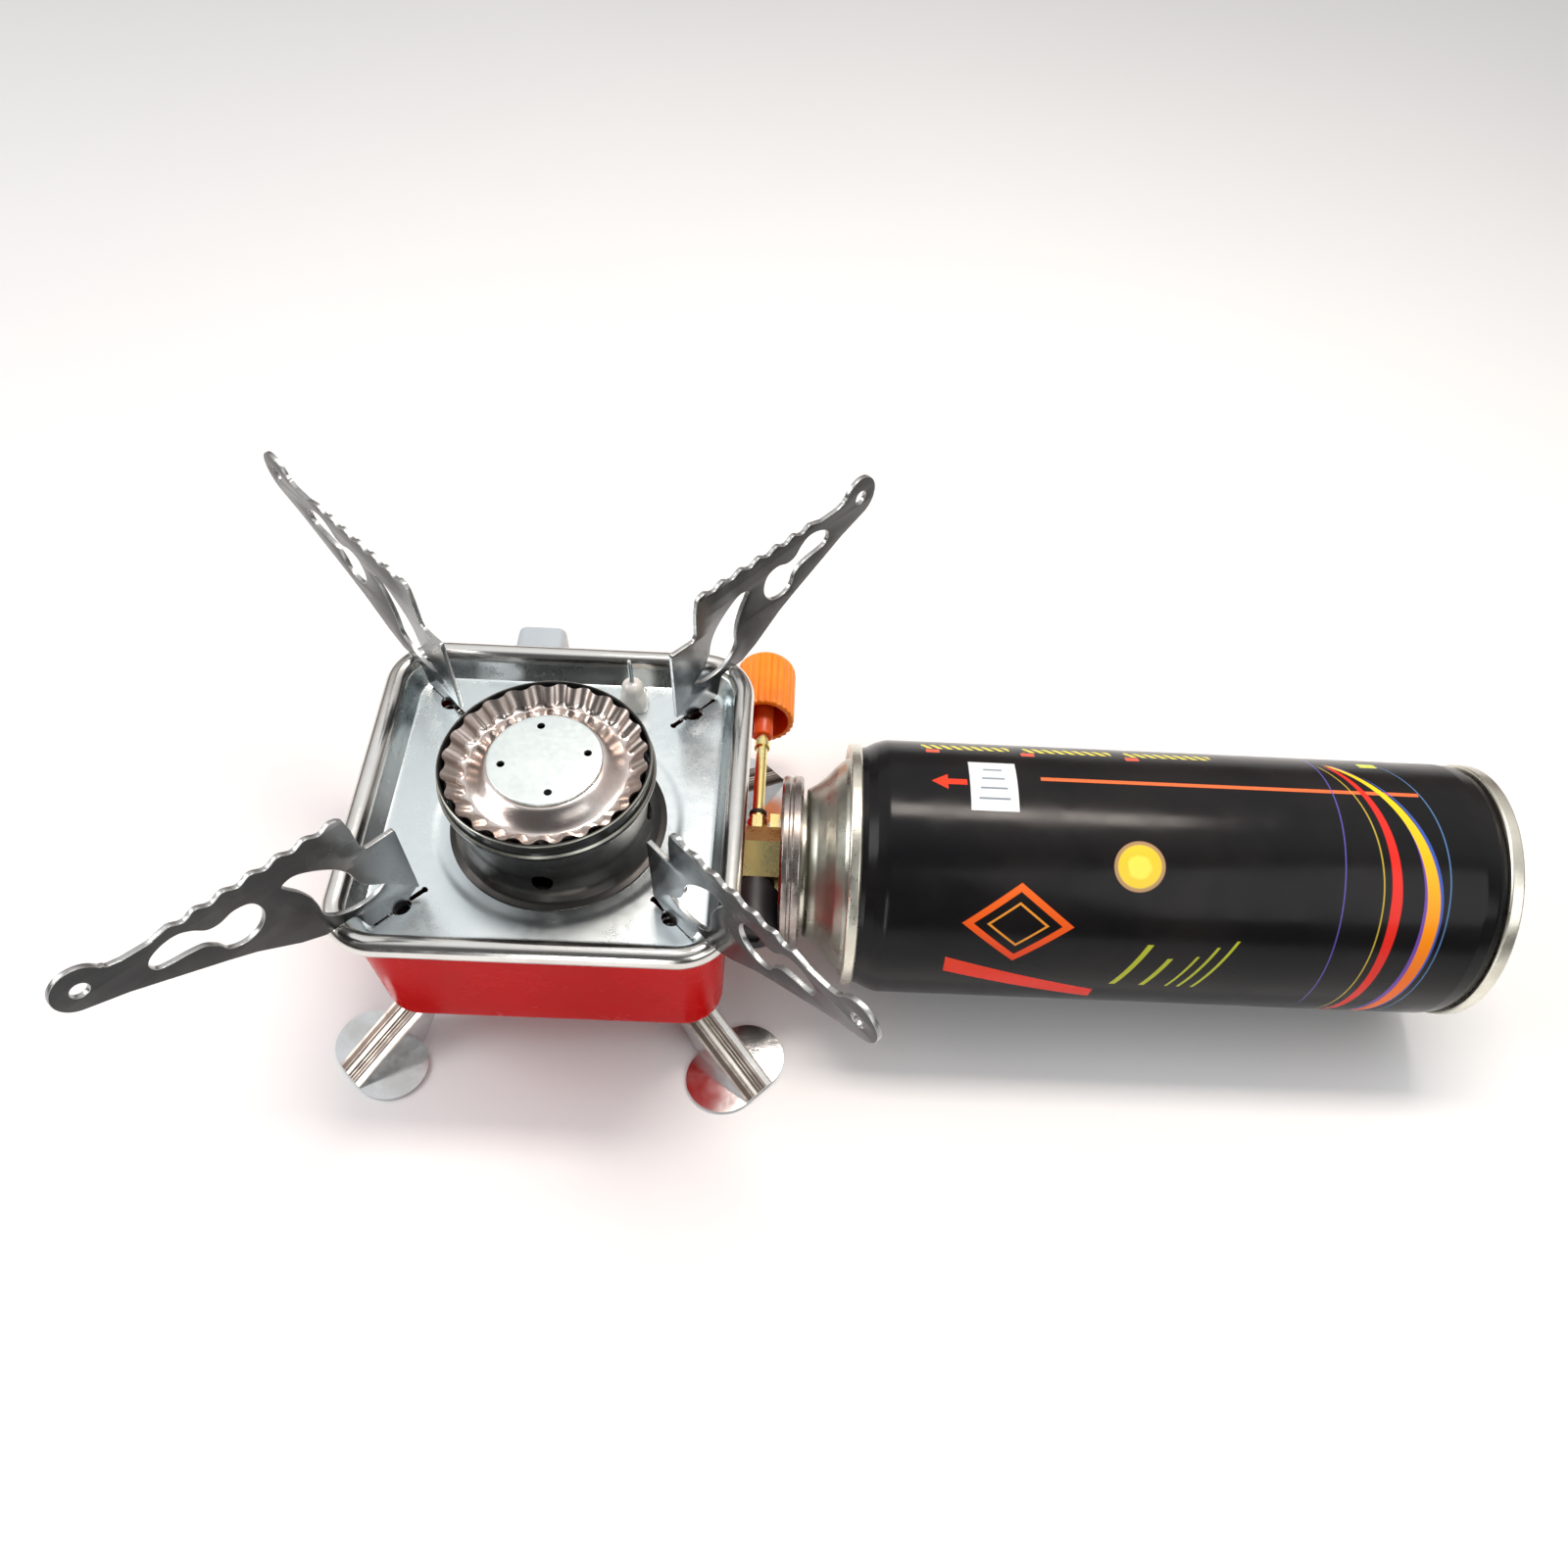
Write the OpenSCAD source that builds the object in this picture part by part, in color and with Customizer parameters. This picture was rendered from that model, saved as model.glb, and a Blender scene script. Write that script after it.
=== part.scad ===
// Folding camping stove with a square pan body, a rolled-rim tray, a round
// burner, four swing-out pot arms, four swing-out legs, a side valve and a
// gas cartridge lying beside it. Millimetres. X points to the cartridge,
// Y to the igniter button at the back, Z up; the ground is Z = 0 and the
// origin is under the centre of the tray.

/* [Tray] */
// Outside width of the square tray over its rolled rim
tray_w = 97.4; // [96.8:0.2:98.4]
// Outside radius of the tray's corners
tray_corner_r = 14.4; // [13.6:0.2:15.2]
// Radius of the rolled rim bead
bead_r = 2.75; // [2.6:0.05:2.9]
// Height of the tray floor's top face above the ground
tray_floor_z = 52.5; // [52.4:0.1:52.6]
// Thickness of the tray sheet
tray_t = 0.7; // [0.6:0.1:0.8]

/* [Pan body] */
// Outside width of the pan body at its top edge
pan_w = 89.4; // [88.8:0.2:89.8]
// Radius of the pan's upright corners
pan_corner_r = 11; // [10.5:0.5:11.5]
// Height of the pan's underside above the ground
pan_z = 15; // [14.95:0.05:15.05]
// Radius of the pan's bottom edge
pan_edge_r = 5; // [4.5:0.5:5.5]

/* [Burner] */
// Outside radius of the burner's black ring
ring_r = 25.7; // [25.4:0.1:26]
// Number of flutes round the flame insert
flutes = 24; // [20:1:30]
// Radius of the flat disc in the middle of the burner
disc_r = 13.6; // [13.3:0.1:13.9]
// Distance of the burner's axis in front of the tray's centre
burner_front = 5.1; // [4.8:0.1:5.3]

/* [Pot arms] */
// Distance of each arm's pivot from the tray's centre lines
arm_pivot = 32.3; // [32.1:0.1:32.5]
// Height of the support edge that a pot rests on
support_z = 91; // [90:0.5:92]
// Thickness of the arm plate
arm_t = 1.2; // [1:0.1:1.4]
// Number of waves along the support edge
arm_waves = 6; // [5:1:7]

/* [Legs] */
// Distance of each leg's rivet from the tray's centre lines
leg_pivot = 31; // [30.5:0.1:31.5]
// Width of the leg channel
leg_w = 9; // [8.8:0.1:9.4]
// Radius of the half discs that each leg stands on
foot_r = 9.8; // [9:0.1:10]

/* [Valve and cartridge] */
// Height of the valve's and the cartridge's axis above the ground
axis_z = 35; // [34.8:0.1:35.2]
// Distance of that axis in front of the tray's centre
axis_front = 2.9; // [2.6:0.1:3.2]
// Radius of the cartridge
can_r = 33.2; // [32.8:0.1:33.3]
// Length of the cartridge from seam to seam
can_len = 162.7; // [150:0.1:175]
// Radius of the control knob
knob_r = 8.7; // [8.4:0.1:8.8]

/* [Hidden] */

tin = [0.82, 0.84, 0.85];
dark_steel = [0.23, 0.23, 0.24];
brass = [0.76, 0.62, 0.28];

bead_z = tray_floor_z + 4.35;
tray_hc = tray_w / 2 - tray_corner_r;
pan_hc = pan_w / 2 - pan_corner_r;
pan_top = bead_z - 2.55;
bx = 1.7;
by = -burner_front;
ay = -axis_front;
stem_x = 50.7;
disc_z = 75.7;
// opened directions of the arms: front left, front right, back left, back right
arm_dir = [226.3, 314, 136, 46.8];
can_x0 = 74;
can_x1 = can_x0 + can_len;
dish_r = 31.2;
btn_x = -12.8;
btn_z = 45.5;
elec = [16.5, 34.4];

// ---------------------------------------------------------------- helpers
// Square with rounded corners, half width h and corner radius r
module rsq(h, r) {
  square([2 * h, 2 * (h - r)], center = true);
  square([2 * (h - r), 2 * h], center = true);
  for (x = [-1, 1], y = [-1, 1]) translate([x * (h - r), y * (h - r)]) circle(r = r, $fn = 64);
}
// Rectangle w by h with corner radius r
module rrect(w, h, r) {
  square([w, h - 2 * r], center = true);
  square([w - 2 * r, h], center = true);
  for (x = [-1, 1], y = [-1, 1]) translate([x * (w / 2 - r), y * (h / 2 - r)]) circle(r = r, $fn = 32);
}
// Carries a wall profile round a square whose corner centres are at hc.
// The profile's x is the distance outward from the corner centre.
module round_square(hc) {
  for (k = [0 : 3]) rotate(90 * k) {
    translate([hc, hc, 0]) rotate_extrude(angle = 90, $fn = 64) children();
    translate([hc, 0, 0]) rotate([90, 0, 0]) linear_extrude(height = 2 * hc, center = true) children();
  }
}
// Turned part on the cartridge axis; the profile's x is the radius and its
// y the distance along +X
module on_axis() {
  translate([0, ay, axis_z]) rotate([90, 0, 90]) rotate_extrude($fn = 96) children();
}
// Tube swept along a list of points, round section with n sides
function vsub(a, b) = [a[0] - b[0], a[1] - b[1], a[2] - b[2]];
function unit(v) = v / norm(v);
function tang(p, i) = unit(i == 0 ? vsub(p[1], p[0]) : i == len(p) - 1 ? vsub(p[i], p[i - 1]) : vsub(p[i + 1], p[i - 1]));
function side_of(t, up) = unit(cross(t, up));
module swept(p, r, n, up = [0.13, 0.2, 0.97]) {
  m = len(p);
  pts = [for (i = [0 : m - 1]) let (t = tang(p, i), u = side_of(t, up), v = cross(t, u))
         for (j = [0 : n - 1]) let (a = 360 * j / n) p[i] + r * cos(a) * u + r * sin(a) * v];
  faces = concat(
    [[for (j = [0 : n - 1]) j]],
    [for (i = [0 : m - 2]) for (j = [0 : n - 1]) let (k = (j + 1) % n) each
       [[i * n + j, (i + 1) * n + j, (i + 1) * n + k], [i * n + j, (i + 1) * n + k, i * n + k]]],
    [[for (j = [n - 1 : -1 : 0]) (m - 1) * n + j]]);
  polyhedron(points = pts, faces = faces, convexity = 6);
}

// ---------------------------------------------------------------- pan body
module pan_profile() {
  r = pan_corner_r;
  e = pan_edge_r;
  polygon([[r, pan_top], [r - 0.8, pan_top], [r - 1.8, pan_z + e], [r - 1, pan_z + e]]);
  translate([r - 1 - e, pan_z + e]) difference() {
    intersection() {
      circle(r = e, $fn = 64);
      translate([0, -e]) square([e, e]);
    }
    circle(r = e - 0.8, $fn = 64);
  }
}
module body_shell() {
  color("firebrick") difference() {
    union() {
      round_square(pan_hc) pan_profile();
      translate([0, 0, pan_z]) linear_extrude(height = 0.8) rsq(pan_hc + pan_corner_r - 1 - pan_edge_r + 0.001, pan_corner_r - 1 - pan_edge_r + 0.001);
    }
    // way through for the valve's outlet, and the bracket's two screws
    translate([40, ay, axis_z]) rotate([0, 90, 0]) cylinder(r = 5, h = 10, $fn = 48);
    for (y = [-7.6, 7.6]) translate([40, ay + y, axis_z - 9.8]) rotate([0, 90, 0]) cylinder(r = 1.45, h = 10, $fn = 32);
    // window for the igniter button
    translate([btn_x, 40, btn_z]) rotate([-90, 0, 0]) linear_extrude(height = 10) rrect(14.3, 10.8, 2.3);
    // rivet holes of the legs
    for (x = [-1, 1], y = [-1, 1]) translate([x * leg_pivot, y * leg_pivot, pan_z - 1]) cylinder(r = 2.4, h = 3, $fn = 48);
    // air holes in the floor
    for (k = [0 : 3]) rotate(90 * k) translate([15, 0, pan_z - 1]) cylinder(r = 3, h = 3, $fn = 48);
  }
}

// ---------------------------------------------------------------- tray
module tray_wall_profile() {
  c = tray_corner_r;
  z = tray_floor_z;
  polygon([[c - 7.9, z - tray_t], [c - 6.85, z - tray_t], [c - 4.7, bead_z - 0.4], [c - 4.6, bead_z + 0.6], [c - 5.3, bead_z + 0.5], [c - 7.4, z], [c - 7.9, z]]);
}
module arm_slits() {
  for (s = [-1, 1]) {
    translate([s * 4.6, 0]) square([4.2, 1.3], center = true);
    translate([s * 6.6, 0]) circle(r = 0.95, $fn = 32);
  }
}
module top_tray() {
  c = tray_corner_r;
  color(tin) difference() {
    union() {
      translate([0, 0, tray_floor_z - tray_t]) linear_extrude(height = tray_t) difference() {
        rsq(tray_hc + c - 7.4, c - 7.4);
        translate([bx, by]) circle(r = dish_r - 0.4, $fn = 96);
      }
      // shallow round dish that the burner stands in
      translate([bx, by, 0]) rotate_extrude($fn = 96)
        polygon([[12.5, tray_floor_z - 2 * tray_t], [dish_r - 1.1, tray_floor_z - 2 * tray_t], [dish_r, tray_floor_z - tray_t],
                 [dish_r, tray_floor_z], [dish_r - 0.4, tray_floor_z], [dish_r - 1.5, tray_floor_z - tray_t], [12.5, tray_floor_z - tray_t]]);
      round_square(tray_hc) {
        tray_wall_profile();
        translate([c - bead_r, bead_z]) circle(r = bead_r, $fn = 48);
      }
    }
    for (k = [0 : 3]) rotate(90 * k + 45) translate([arm_pivot * sqrt(2), 0, tray_floor_z - 2]) {
      cylinder(r = 2.6, h = 4, $fn = 48);
      linear_extrude(height = 4) arm_slits();
    }
    translate([elec[0], elec[1], tray_floor_z - 3]) cylinder(r = 2.4, h = 6, $fn = 48);
    for (s = [-1, 1]) translate([bx + s * 19, by, tray_floor_z - 4]) cylinder(r = 1.6, h = 6, $fn = 32);
  }
}

// ---------------------------------------------------------------- burner
module burner_cup() {
  z = tray_floor_z - tray_t;
  color(dark_steel) difference() {
    translate([bx, by, 0]) rotate_extrude($fn = 96)
      polygon([[8.2, z], [26.4, z], [26.8, z + 0.3], [26.8, z + 0.7], [26.2, z + 1.1], [25, z + 1.7], [24, z + 2.9], [23.2, z + 4.6], [22.9, z + 7], [23, z + 10], [23.5, z + 14.6], [23.95, z + 18.6], [23.95, z + 20.6],
               [23.25, z + 20.6], [23.2, z + 18.6], [22.7, z + 14.7], [22.2, z + 10], [22.1, z + 7], [22.4, z + 4.4], [23.2, z + 2.4], [24.3, z + 1.1], [24.6, z + 0.8], [8.2, z + 0.8]]);
    for (k = [0 : 3]) translate([bx, by, z + 6.9]) rotate(90 * k) rotate([0, 90, 0]) translate([0, 0, 20]) cylinder(r = 2.6, h = 8, $fn = 48);
    for (s = [-1, 1]) translate([bx + s * 19, by, z - 1]) cylinder(r = 1.6, h = 4, $fn = 32);
  }
}
module mixing_bowl() {
  z = tray_floor_z - tray_t + 0.8;
  color(tin) translate([bx, by, 0]) rotate_extrude($fn = 96)
    polygon([[8.2, z], [13, z], [16, z + 1.4], [19, z + 4.6], [20.4, z + 8], [21.3, z + 14], [22.6, z + 18], [22.6, z + 20.2], [22, z + 20.2], [22, z + 18.4], [20.7, z + 14.4], [19.8, z + 8.4], [18.5, z + 5],
             [15.8, z + 2.1], [12.9, z + 0.7], [8.2, z + 0.7]]);
}
module burner_ring() {
  r = ring_r;
  color([0.06, 0.06, 0.06]) translate([bx, by, 0]) rotate_extrude($fn = 96)
    polygon([[24, 70.9], [r - 0.4, 70.9], [r, 71.3], [r, 72.2], [r - 0.3, 72.7], [r - 0.8, 73.1], [r - 0.8, 74.9], [r - 0.7, 75.2], [r - 0.7, 75.8],
             [r - 1, 76.1], [24.4, 76.1], [24.3, 75.8], [24.3, 73.6], [24, 73.2]]);
}
// Section of the flame insert at angle a: valley, then a fluted wall
function flute(a, r) = 0.6 * max(0, min(1, (r - 18.6) / 1.8)) * cos(flutes * (a - 13.6));
function fl_pt(a, r, z) = let (q = r + flute(a, r)) [q * cos(a), q * sin(a), z];
insert_line = [[11.5, 75.6], [13.9, 75.3], [15.6, 74.3], [17.4, 73.1], [19.1, 72.3], [20.2, 72.8], [22, 74.4], [23.5, 75.8]];
module flame_insert() {
  na = flutes * 6;
  t = 0.5;
  loop = concat(insert_line, [for (i = [len(insert_line) - 1 : -1 : 0]) [insert_line[i][0] + (i > 4 ? 0.2 : 0), insert_line[i][1] - t]]);
  m = len(loop);
  pts = [for (k = [0 : na - 1]) for (p = loop) fl_pt(360 * k / na, p[0], p[1])];
  faces = [for (k = [0 : na - 1]) let (k2 = (k + 1) % na) for (j = [0 : m - 1]) let (j2 = (j + 1) % m)
             [k * m + j, k * m + j2, k2 * m + j2, k2 * m + j]];
  color(tin) translate([bx, by, 0]) polyhedron(points = pts, faces = faces, convexity = 8);
}
module burner_disc() {
  color([0.85, 0.86, 0.84]) translate([bx, by, 0]) difference() {
    rotate_extrude($fn = 96) {
      polygon([[0, disc_z], [disc_r - 0.4, disc_z], [disc_r - 0.4, disc_z + 0.8], [0, disc_z + 0.8]]);
      translate([disc_r - 0.4, disc_z + 0.4]) circle(r = 0.4, $fn = 24);
    }
    for (k = [0 : 3]) rotate(90 * k + 12.5) translate([10.1, 0, disc_z - 1]) cylinder(r = 1.15, h = 3, $fn = 32);
  }
}
module burner_tube() {
  color(tin) difference() {
    union() {
      translate([bx, by, axis_z]) cylinder(r = 8, h = 54.6 - axis_z, $fn = 64);
      translate([bx, by, axis_z]) sphere(r = 8, $fn = 64);
      translate([bx, ay, axis_z]) rotate([0, 90, 0]) cylinder(r = 8, h = 30 - bx, $fn = 64);
      translate([bx, ay, axis_z]) sphere(r = 8, $fn = 64);
      translate([bx, by, tray_floor_z - 2 * tray_t - 1]) cylinder(r = 11.5, h = 1, $fn = 64);
    }
    translate([bx, by, axis_z]) cylinder(r = 7.2, h = 40, $fn = 64);
    translate([bx, by, axis_z]) sphere(r = 7.2, $fn = 64);
    translate([bx, ay, axis_z]) sphere(r = 7.2, $fn = 64);
    translate([bx, ay, axis_z]) rotate([0, 90, 0]) cylinder(r = 7.2, h = 40, $fn = 64);
    // air ports near the mouth
    for (s = [-1, 1]) translate([25, ay + s * 4, axis_z]) rotate([s * -90, 0, 0]) cylinder(r = 2.5, h = 8, $fn = 32);
  }
}
module burner_screws() {
  z = tray_floor_z - tray_t + 0.8;
  color("silver") for (s = [-1, 1]) translate([bx + s * 19, by, 0]) difference() {
    union() {
      translate([0, 0, z - 5]) cylinder(r = 1.5, h = 5.2, $fn = 32);
      translate([0, 0, z]) cylinder(r = 1.55, h = 1.1, $fn = 48);
      translate([0, 0, z - 4.4]) cylinder(r = 2.9, h = 2.1, $fn = 6);
    }
    translate([0, 0, z + 1.1]) cube([2.4, 0.5, 0.8], center = true);
  }
}
module gas_jet() {
  color(brass) translate([0, ay, axis_z]) rotate([0, 90, 0]) difference() {
    union() {
      translate([0, 0, 38.4]) cylinder(r = 3.4, h = 1.6, $fn = 6);
      translate([0, 0, 34.5]) cylinder(r = 2.4, h = 4, $fn = 48);
      translate([0, 0, 33]) cylinder(r1 = 1.2, r2 = 2.4, h = 1.5, $fn = 48);
    }
    translate([0, 0, 32]) cylinder(r = 0.4, h = 10, $fn = 24);
  }
}

// ---------------------------------------------------------------- ignition
module electrode_insulator() {
  x = elec[0];
  y = elec[1];
  color("white") difference() {
    union() {
      translate([x, y, 46.5]) cylinder(r = 2.35, h = 6.2, $fn = 48);
      translate([x, y, tray_floor_z]) linear_extrude(height = 4.4) rrect(7.2, 6.6, 1.2);
      translate([x, y, tray_floor_z + 4.4]) cylinder(r = 3, h = 1.6, $fn = 48);
      translate([x, y, tray_floor_z + 6]) sphere(r = 3, $fn = 48);
    }
    translate([x, y, 40]) cylinder(r = 0.6, h = 40, $fn = 64);
  }
}
module electrode_wire() {
  x = elec[0];
  y = elec[1];
  color("gray") {
    translate([x, y, 45]) cylinder(r = 0.6, h = 22.6, $fn = 64);
    translate([x, y, 67.6]) rotate([14, 0, 0]) cylinder(r = 0.45, h = 1.6, $fn = 64);
  }
}
lead_route = [[btn_x, 15.9, btn_z], [btn_x, 13.2, 45], [-11, 11.2, 43.3], [-7, 11, 41], [-1, 12.5, 39.2], [5, 16, 38.2], [10, 21.5, 37.8], [13.4, 27, 38.1],
              [15.6, 31.6, 39.6], [16.5, 34, 42], [16.5, 34.4, 43.8], [16.5, 34.4, 45]];
module ignition_lead() {
  color([0.1, 0.1, 0.1]) swept(lead_route, 1.1, 8);
}
module piezo_igniter() {
  color([0.15, 0.15, 0.16]) translate([btn_x, 0, btn_z]) rotate([-90, 0, 0]) difference() {
    union() {
      translate([0, 0, 16]) cylinder(r = 4.6, h = 14, $fn = 64);
      translate([0, 0, 30]) linear_extrude(height = 8.2) rrect(12.6, 9, 1.5);
    }
    translate([0, 0, 22]) cylinder(r = 2.56, h = 20, $fn = 48);
  }
}
module igniter_button() {
  color([0.72, 0.76, 0.78]) translate([btn_x, 0, btn_z]) rotate([-90, 0, 0]) difference() {
    union() {
      translate([0, 0, 46.6]) linear_extrude(height = 16.7) rrect(13.5, 10, 2);
      translate([0, 0, 63.3]) linear_extrude(height = 0.7) rrect(12.7, 9.2, 1.8);
      translate([0, 0, 64]) linear_extrude(height = 0.5) rrect(11.4, 7.9, 1.4);
    }
    // hollow moulding, open toward the stove
    translate([0, 0, 46]) linear_extrude(height = 15) difference() {
      rrect(11.1, 7.6, 1);
      circle(r = 3.4, $fn = 48);
    }
    translate([0, 0, 46]) cylinder(r = 2.2, h = 8, $fn = 48);
  }
}
module igniter_plunger() {
  color("white") translate([btn_x, 0, btn_z]) rotate([-90, 0, 0]) {
    translate([0, 0, 30]) cylinder(r = 2.5, h = 16.2, $fn = 48);
    translate([0, 0, 46.2]) cylinder(r = 2.2, h = 7.4, $fn = 48);
  }
}

// ---------------------------------------------------------------- valve
module valve_body() {
  color(brass) difference() {
    union() {
      // hexagonal bar along X
      translate([46.2, ay, axis_z]) rotate([0, 90, 0]) cylinder(r = 9.2, h = 11, $fn = 6);
      // outlet that passes through the pan's wall
      translate([40, ay, axis_z]) rotate([0, 90, 0]) cylinder(r = 4.95, h = 7, $fn = 48);
      // block beside the gland, and the gland's boss
      translate([54.2, ay + 4, axis_z - 3.5]) cube([2.6, 8.4, 8]);
      translate([stem_x, ay + 4, axis_z]) rotate([-90, 0, 0]) cylinder(r = 2.9, h = 4.6, $fn = 48);
    }
    // seat of the stem
    translate([stem_x, ay - 1, axis_z]) rotate([-90, 0, 0]) cylinder(r = 1.66, h = 12, $fn = 48);
    // gas passage in from the cartridge side
    translate([54, ay, axis_z]) rotate([0, 90, 0]) cylinder(r = 1.2, h = 5, $fn = 32);
  }
}
module valve_gland_nut() {
  color(brass) translate([stem_x, ay + 8.6, axis_z]) rotate([-90, 0, 0]) difference() {
    union() {
      cylinder(r = 2.65, h = 5, $fn = 6);
      translate([0, 0, 5]) cylinder(r = 2.2, h = 0.8, $fn = 48);
    }
    translate([0, 0, -1]) cylinder(r = 1.66, h = 8, $fn = 48);
  }
}
module valve_stem() {
  color(brass) translate([stem_x, ay, axis_z]) rotate([-90, 0, 0]) {
    translate([0, 0, -0.6]) cylinder(r = 1.6, h = 49.6, $fn = 48);
    translate([0, 0, 38.6]) cylinder(r = 2.2, h = 2, $fn = 48);
  }
}
module stem_seal() {
  color([0.05, 0.05, 0.05]) translate([stem_x, ay + 14.7, axis_z]) rotate([-90, 0, 0]) difference() {
    cylinder(r = 2.4, h = 1, $fn = 48);
    translate([0, 0, -1]) cylinder(r = 1.6, h = 4, $fn = 48);
  }
}
module knob_outline() {
  n = 26;
  polygon([for (k = [0 : n - 1]) for (j = [0 : 3])
    let (a = 360 * (k + [0.02, 0.3, 0.5, 0.8][j]) / n, r = knob_r - [0.55, 0.55, 0, 0][j]) [r * cos(a), r * sin(a)]]);
}
module control_knob() {
  y0 = 45.8;
  color("darkorange") translate([stem_x, y0, axis_z]) rotate([-90, 0, 0]) difference() {
    union() {
      difference() {
        union() {
          linear_extrude(height = 18.4) knob_outline();
          translate([0, 0, 18.4]) cylinder(r = knob_r - 0.7, h = 1, $fn = 64);
          translate([0, 0, 19.4]) cylinder(r1 = knob_r - 0.7, r2 = knob_r - 1.5, h = 0.8, $fn = 64);
        }
        translate([0, 0, -1]) cylinder(r = knob_r - 1.8, h = 12, $fn = 64);
      }
      translate([0, 0, -6]) cylinder(r = 2.8, h = 18, $fn = 48);
    }
    // blind bore for the stem
    translate([0, 0, -7]) cylinder(r = 1.6, h = ay + 49 - y0 + 7.1, $fn = 48);
  }
}
module valve_bracket() {
  color("silver") difference() {
    translate([44.9, ay - 10.3, axis_z - 13]) cube([1.1, 20.6, 20]);
    translate([40, ay, axis_z]) rotate([0, 90, 0]) cylinder(r = 5, h = 10, $fn = 48);
    for (y = [-7.6, 7.6]) translate([40, ay + y, axis_z - 9.8]) rotate([0, 90, 0]) cylinder(r = 1.45, h = 10, $fn = 32);
  }
}
module bracket_screws() {
  color("silver") for (y = [-7.6, 7.6]) translate([0, ay + y, axis_z - 9.8]) rotate([0, 90, 0]) difference() {
    union() {
      translate([0, 0, 41]) cylinder(r = 1.4, h = 5.2, $fn = 32);
      translate([0, 0, 46]) cylinder(r = 2.4, h = 1.2, $fn = 48);
      translate([0, 0, 41.2]) cylinder(r = 2.6, h = 1.5, $fn = 6);
    }
    translate([0, 0, 47.2]) cube([0.5, 3, 0.9], center = true);
  }
}
module regulator_housing() {
  color([0.05, 0.05, 0.06]) translate([stem_x + 0.5, ay - 8.2, axis_z]) rotate([90, 0, 0]) difference() {
    union() {
      cylinder(r = 5, h = 2.4, $fn = 64);
      translate([0, 0, 2.4]) cylinder(r = 6.2, h = 12.2, $fn = 64);
      translate([0, 0, 14.6]) cylinder(r1 = 6.2, r2 = 5, h = 1.2, $fn = 64);
    }
    translate([0, 0, 14.8]) cylinder(r = 2.2, h = 2, $fn = 6);
  }
}
module adapter_plate() {
  color([0.5, 0.46, 0.44]) difference() {
    union() {
      on_axis() polygon([[6, 57.3], [22.2, 57.3], [22.8, 57.9], [22.8, 59.3], [22.5, 59.6], [22.5, 60.2], [22.8, 60.5], [22.8, 62.2], [22.2, 62.8],
                         [21.3, 62.8], [20.9, 62.4], [20.9, 58.5], [6, 58.5]]);
      // locating lug for the notch in the collar
      translate([58.3, ay - 1.5, axis_z + 18.2]) cube([3.6, 3, 3]);
    }
    for (s = [-1, 1]) translate([56, ay, axis_z + 13 * s]) rotate([0, 90, 0]) cylinder(r = 1.5, h = 4, $fn = 32);
  }
}
module adapter_seal() {
  color([0.05, 0.05, 0.05]) on_axis() polygon([[2.5, 57.4], [5.8, 57.4], [5.8, 59], [5.2, 59.6], [3, 59.6], [2.5, 59.1]]);
}

// ---------------------------------------------------------------- pot arms
// Arm plate in its own plane: x is the distance from the pivot, y the height
function reach(p) = [p[0] > 31.5 ? 31.5 + (p[0] - 31.5) * 0.958 : p[0], p[1]];
module arm_outline() {
  w0 = 6.2;
  top = support_z;
  wave = [for (k = [arm_waves * 8 : -1 : 0]) [5.6 + w0 * k / 8, top - 0.62 + 0.62 * cos(45 * k)]];
  difference() {
    union() {
      polygon([for (p = concat(
        [[-6, 53], [8.2, 53], [8.6, 53.6], [10, 59.3], [10.6, 59.9], [17.6, 59.9], [19, 60.3], [23, 62.7], [31.5, 68.8], [34, 70.2], [37.5, 71.8], [46.5, 76.2],
         [56, 80.75], [64.2, 83.76], [65, 86], [60, 94.2], [57.2, 91.8], [55.8, 91], [53.2, 90.3], [48, 89.9], [45.2, 90]],
        wave,
        [[4.4, top - 0.3], [3.6, top - 1], [3, top - 2.2], [2.6, top - 5], [2.5, top - 8], [2.3, 78.9], [1.8, 78.2], [0.8, 77.9], [-5.4, 78], [-5.8, 77.8], [-6, 77.3]])) reach(p)]);
      translate([60.9, 89.3]) circle(r = 5.9, $fn = 64);
      // tongue that passes down through the tray
      translate([-1.8, 37]) square([3.6, 17]);
    }
    translate([61.1, 89.2]) circle(r = 1.9, $fn = 48);
    // long slot with one big round end
    translate([31.2, 79.1]) circle(r = 5.1, $fn = 64);
    translate([42.9, 84.1]) circle(r = 3.6, $fn = 64);
    translate([47.7, 83.6]) circle(r = 2, $fn = 48);
    polygon([for (p = [[32.6, 84.1], [34.6, 83.5], [36.5, 83.4], [38.2, 84.1], [41, 86.7], [44.6, 87.5], [48.9, 85.5], [48.6, 81.7], [45, 80.9], [42, 80.8], [38.6, 79.8], [36.8, 78.6], [36, 76.8], [33, 76]]) reach(p)]);
    // leaf-shaped opening over the rim
    polygon([[0.6, 63.3], [2.4, 62.3], [5.6, 61.9], [9, 62], [12, 63], [14.6, 64.7], [15.8, 66.8], [15.9, 69.5], [16.3, 73], [17.4, 76.8], [19, 80], [20.4, 82.2],
             [20.2, 83.1], [18.8, 83.5], [16.4, 83.2], [13.2, 81.4], [10.2, 78.9], [8.2, 76.2], [7, 73.2], [5.6, 69.4], [3.4, 66]]);
  }
}
module arm_at(sx, sy, a) {
  translate([sx * arm_pivot, sy * arm_pivot, 0]) rotate([90, 0, a]) linear_extrude(height = arm_t, center = true) arm_outline();
}
module pot_arm_front_left() { color(tin) arm_at(-1, -1, arm_dir[0]); }
module pot_arm_front_right() { color(tin) arm_at(1, -1, arm_dir[1]); }
module pot_arm_back_left() { color(tin) arm_at(-1, 1, arm_dir[2]); }
module pot_arm_back_right() { color(tin) arm_at(1, 1, arm_dir[3]); }
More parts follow.
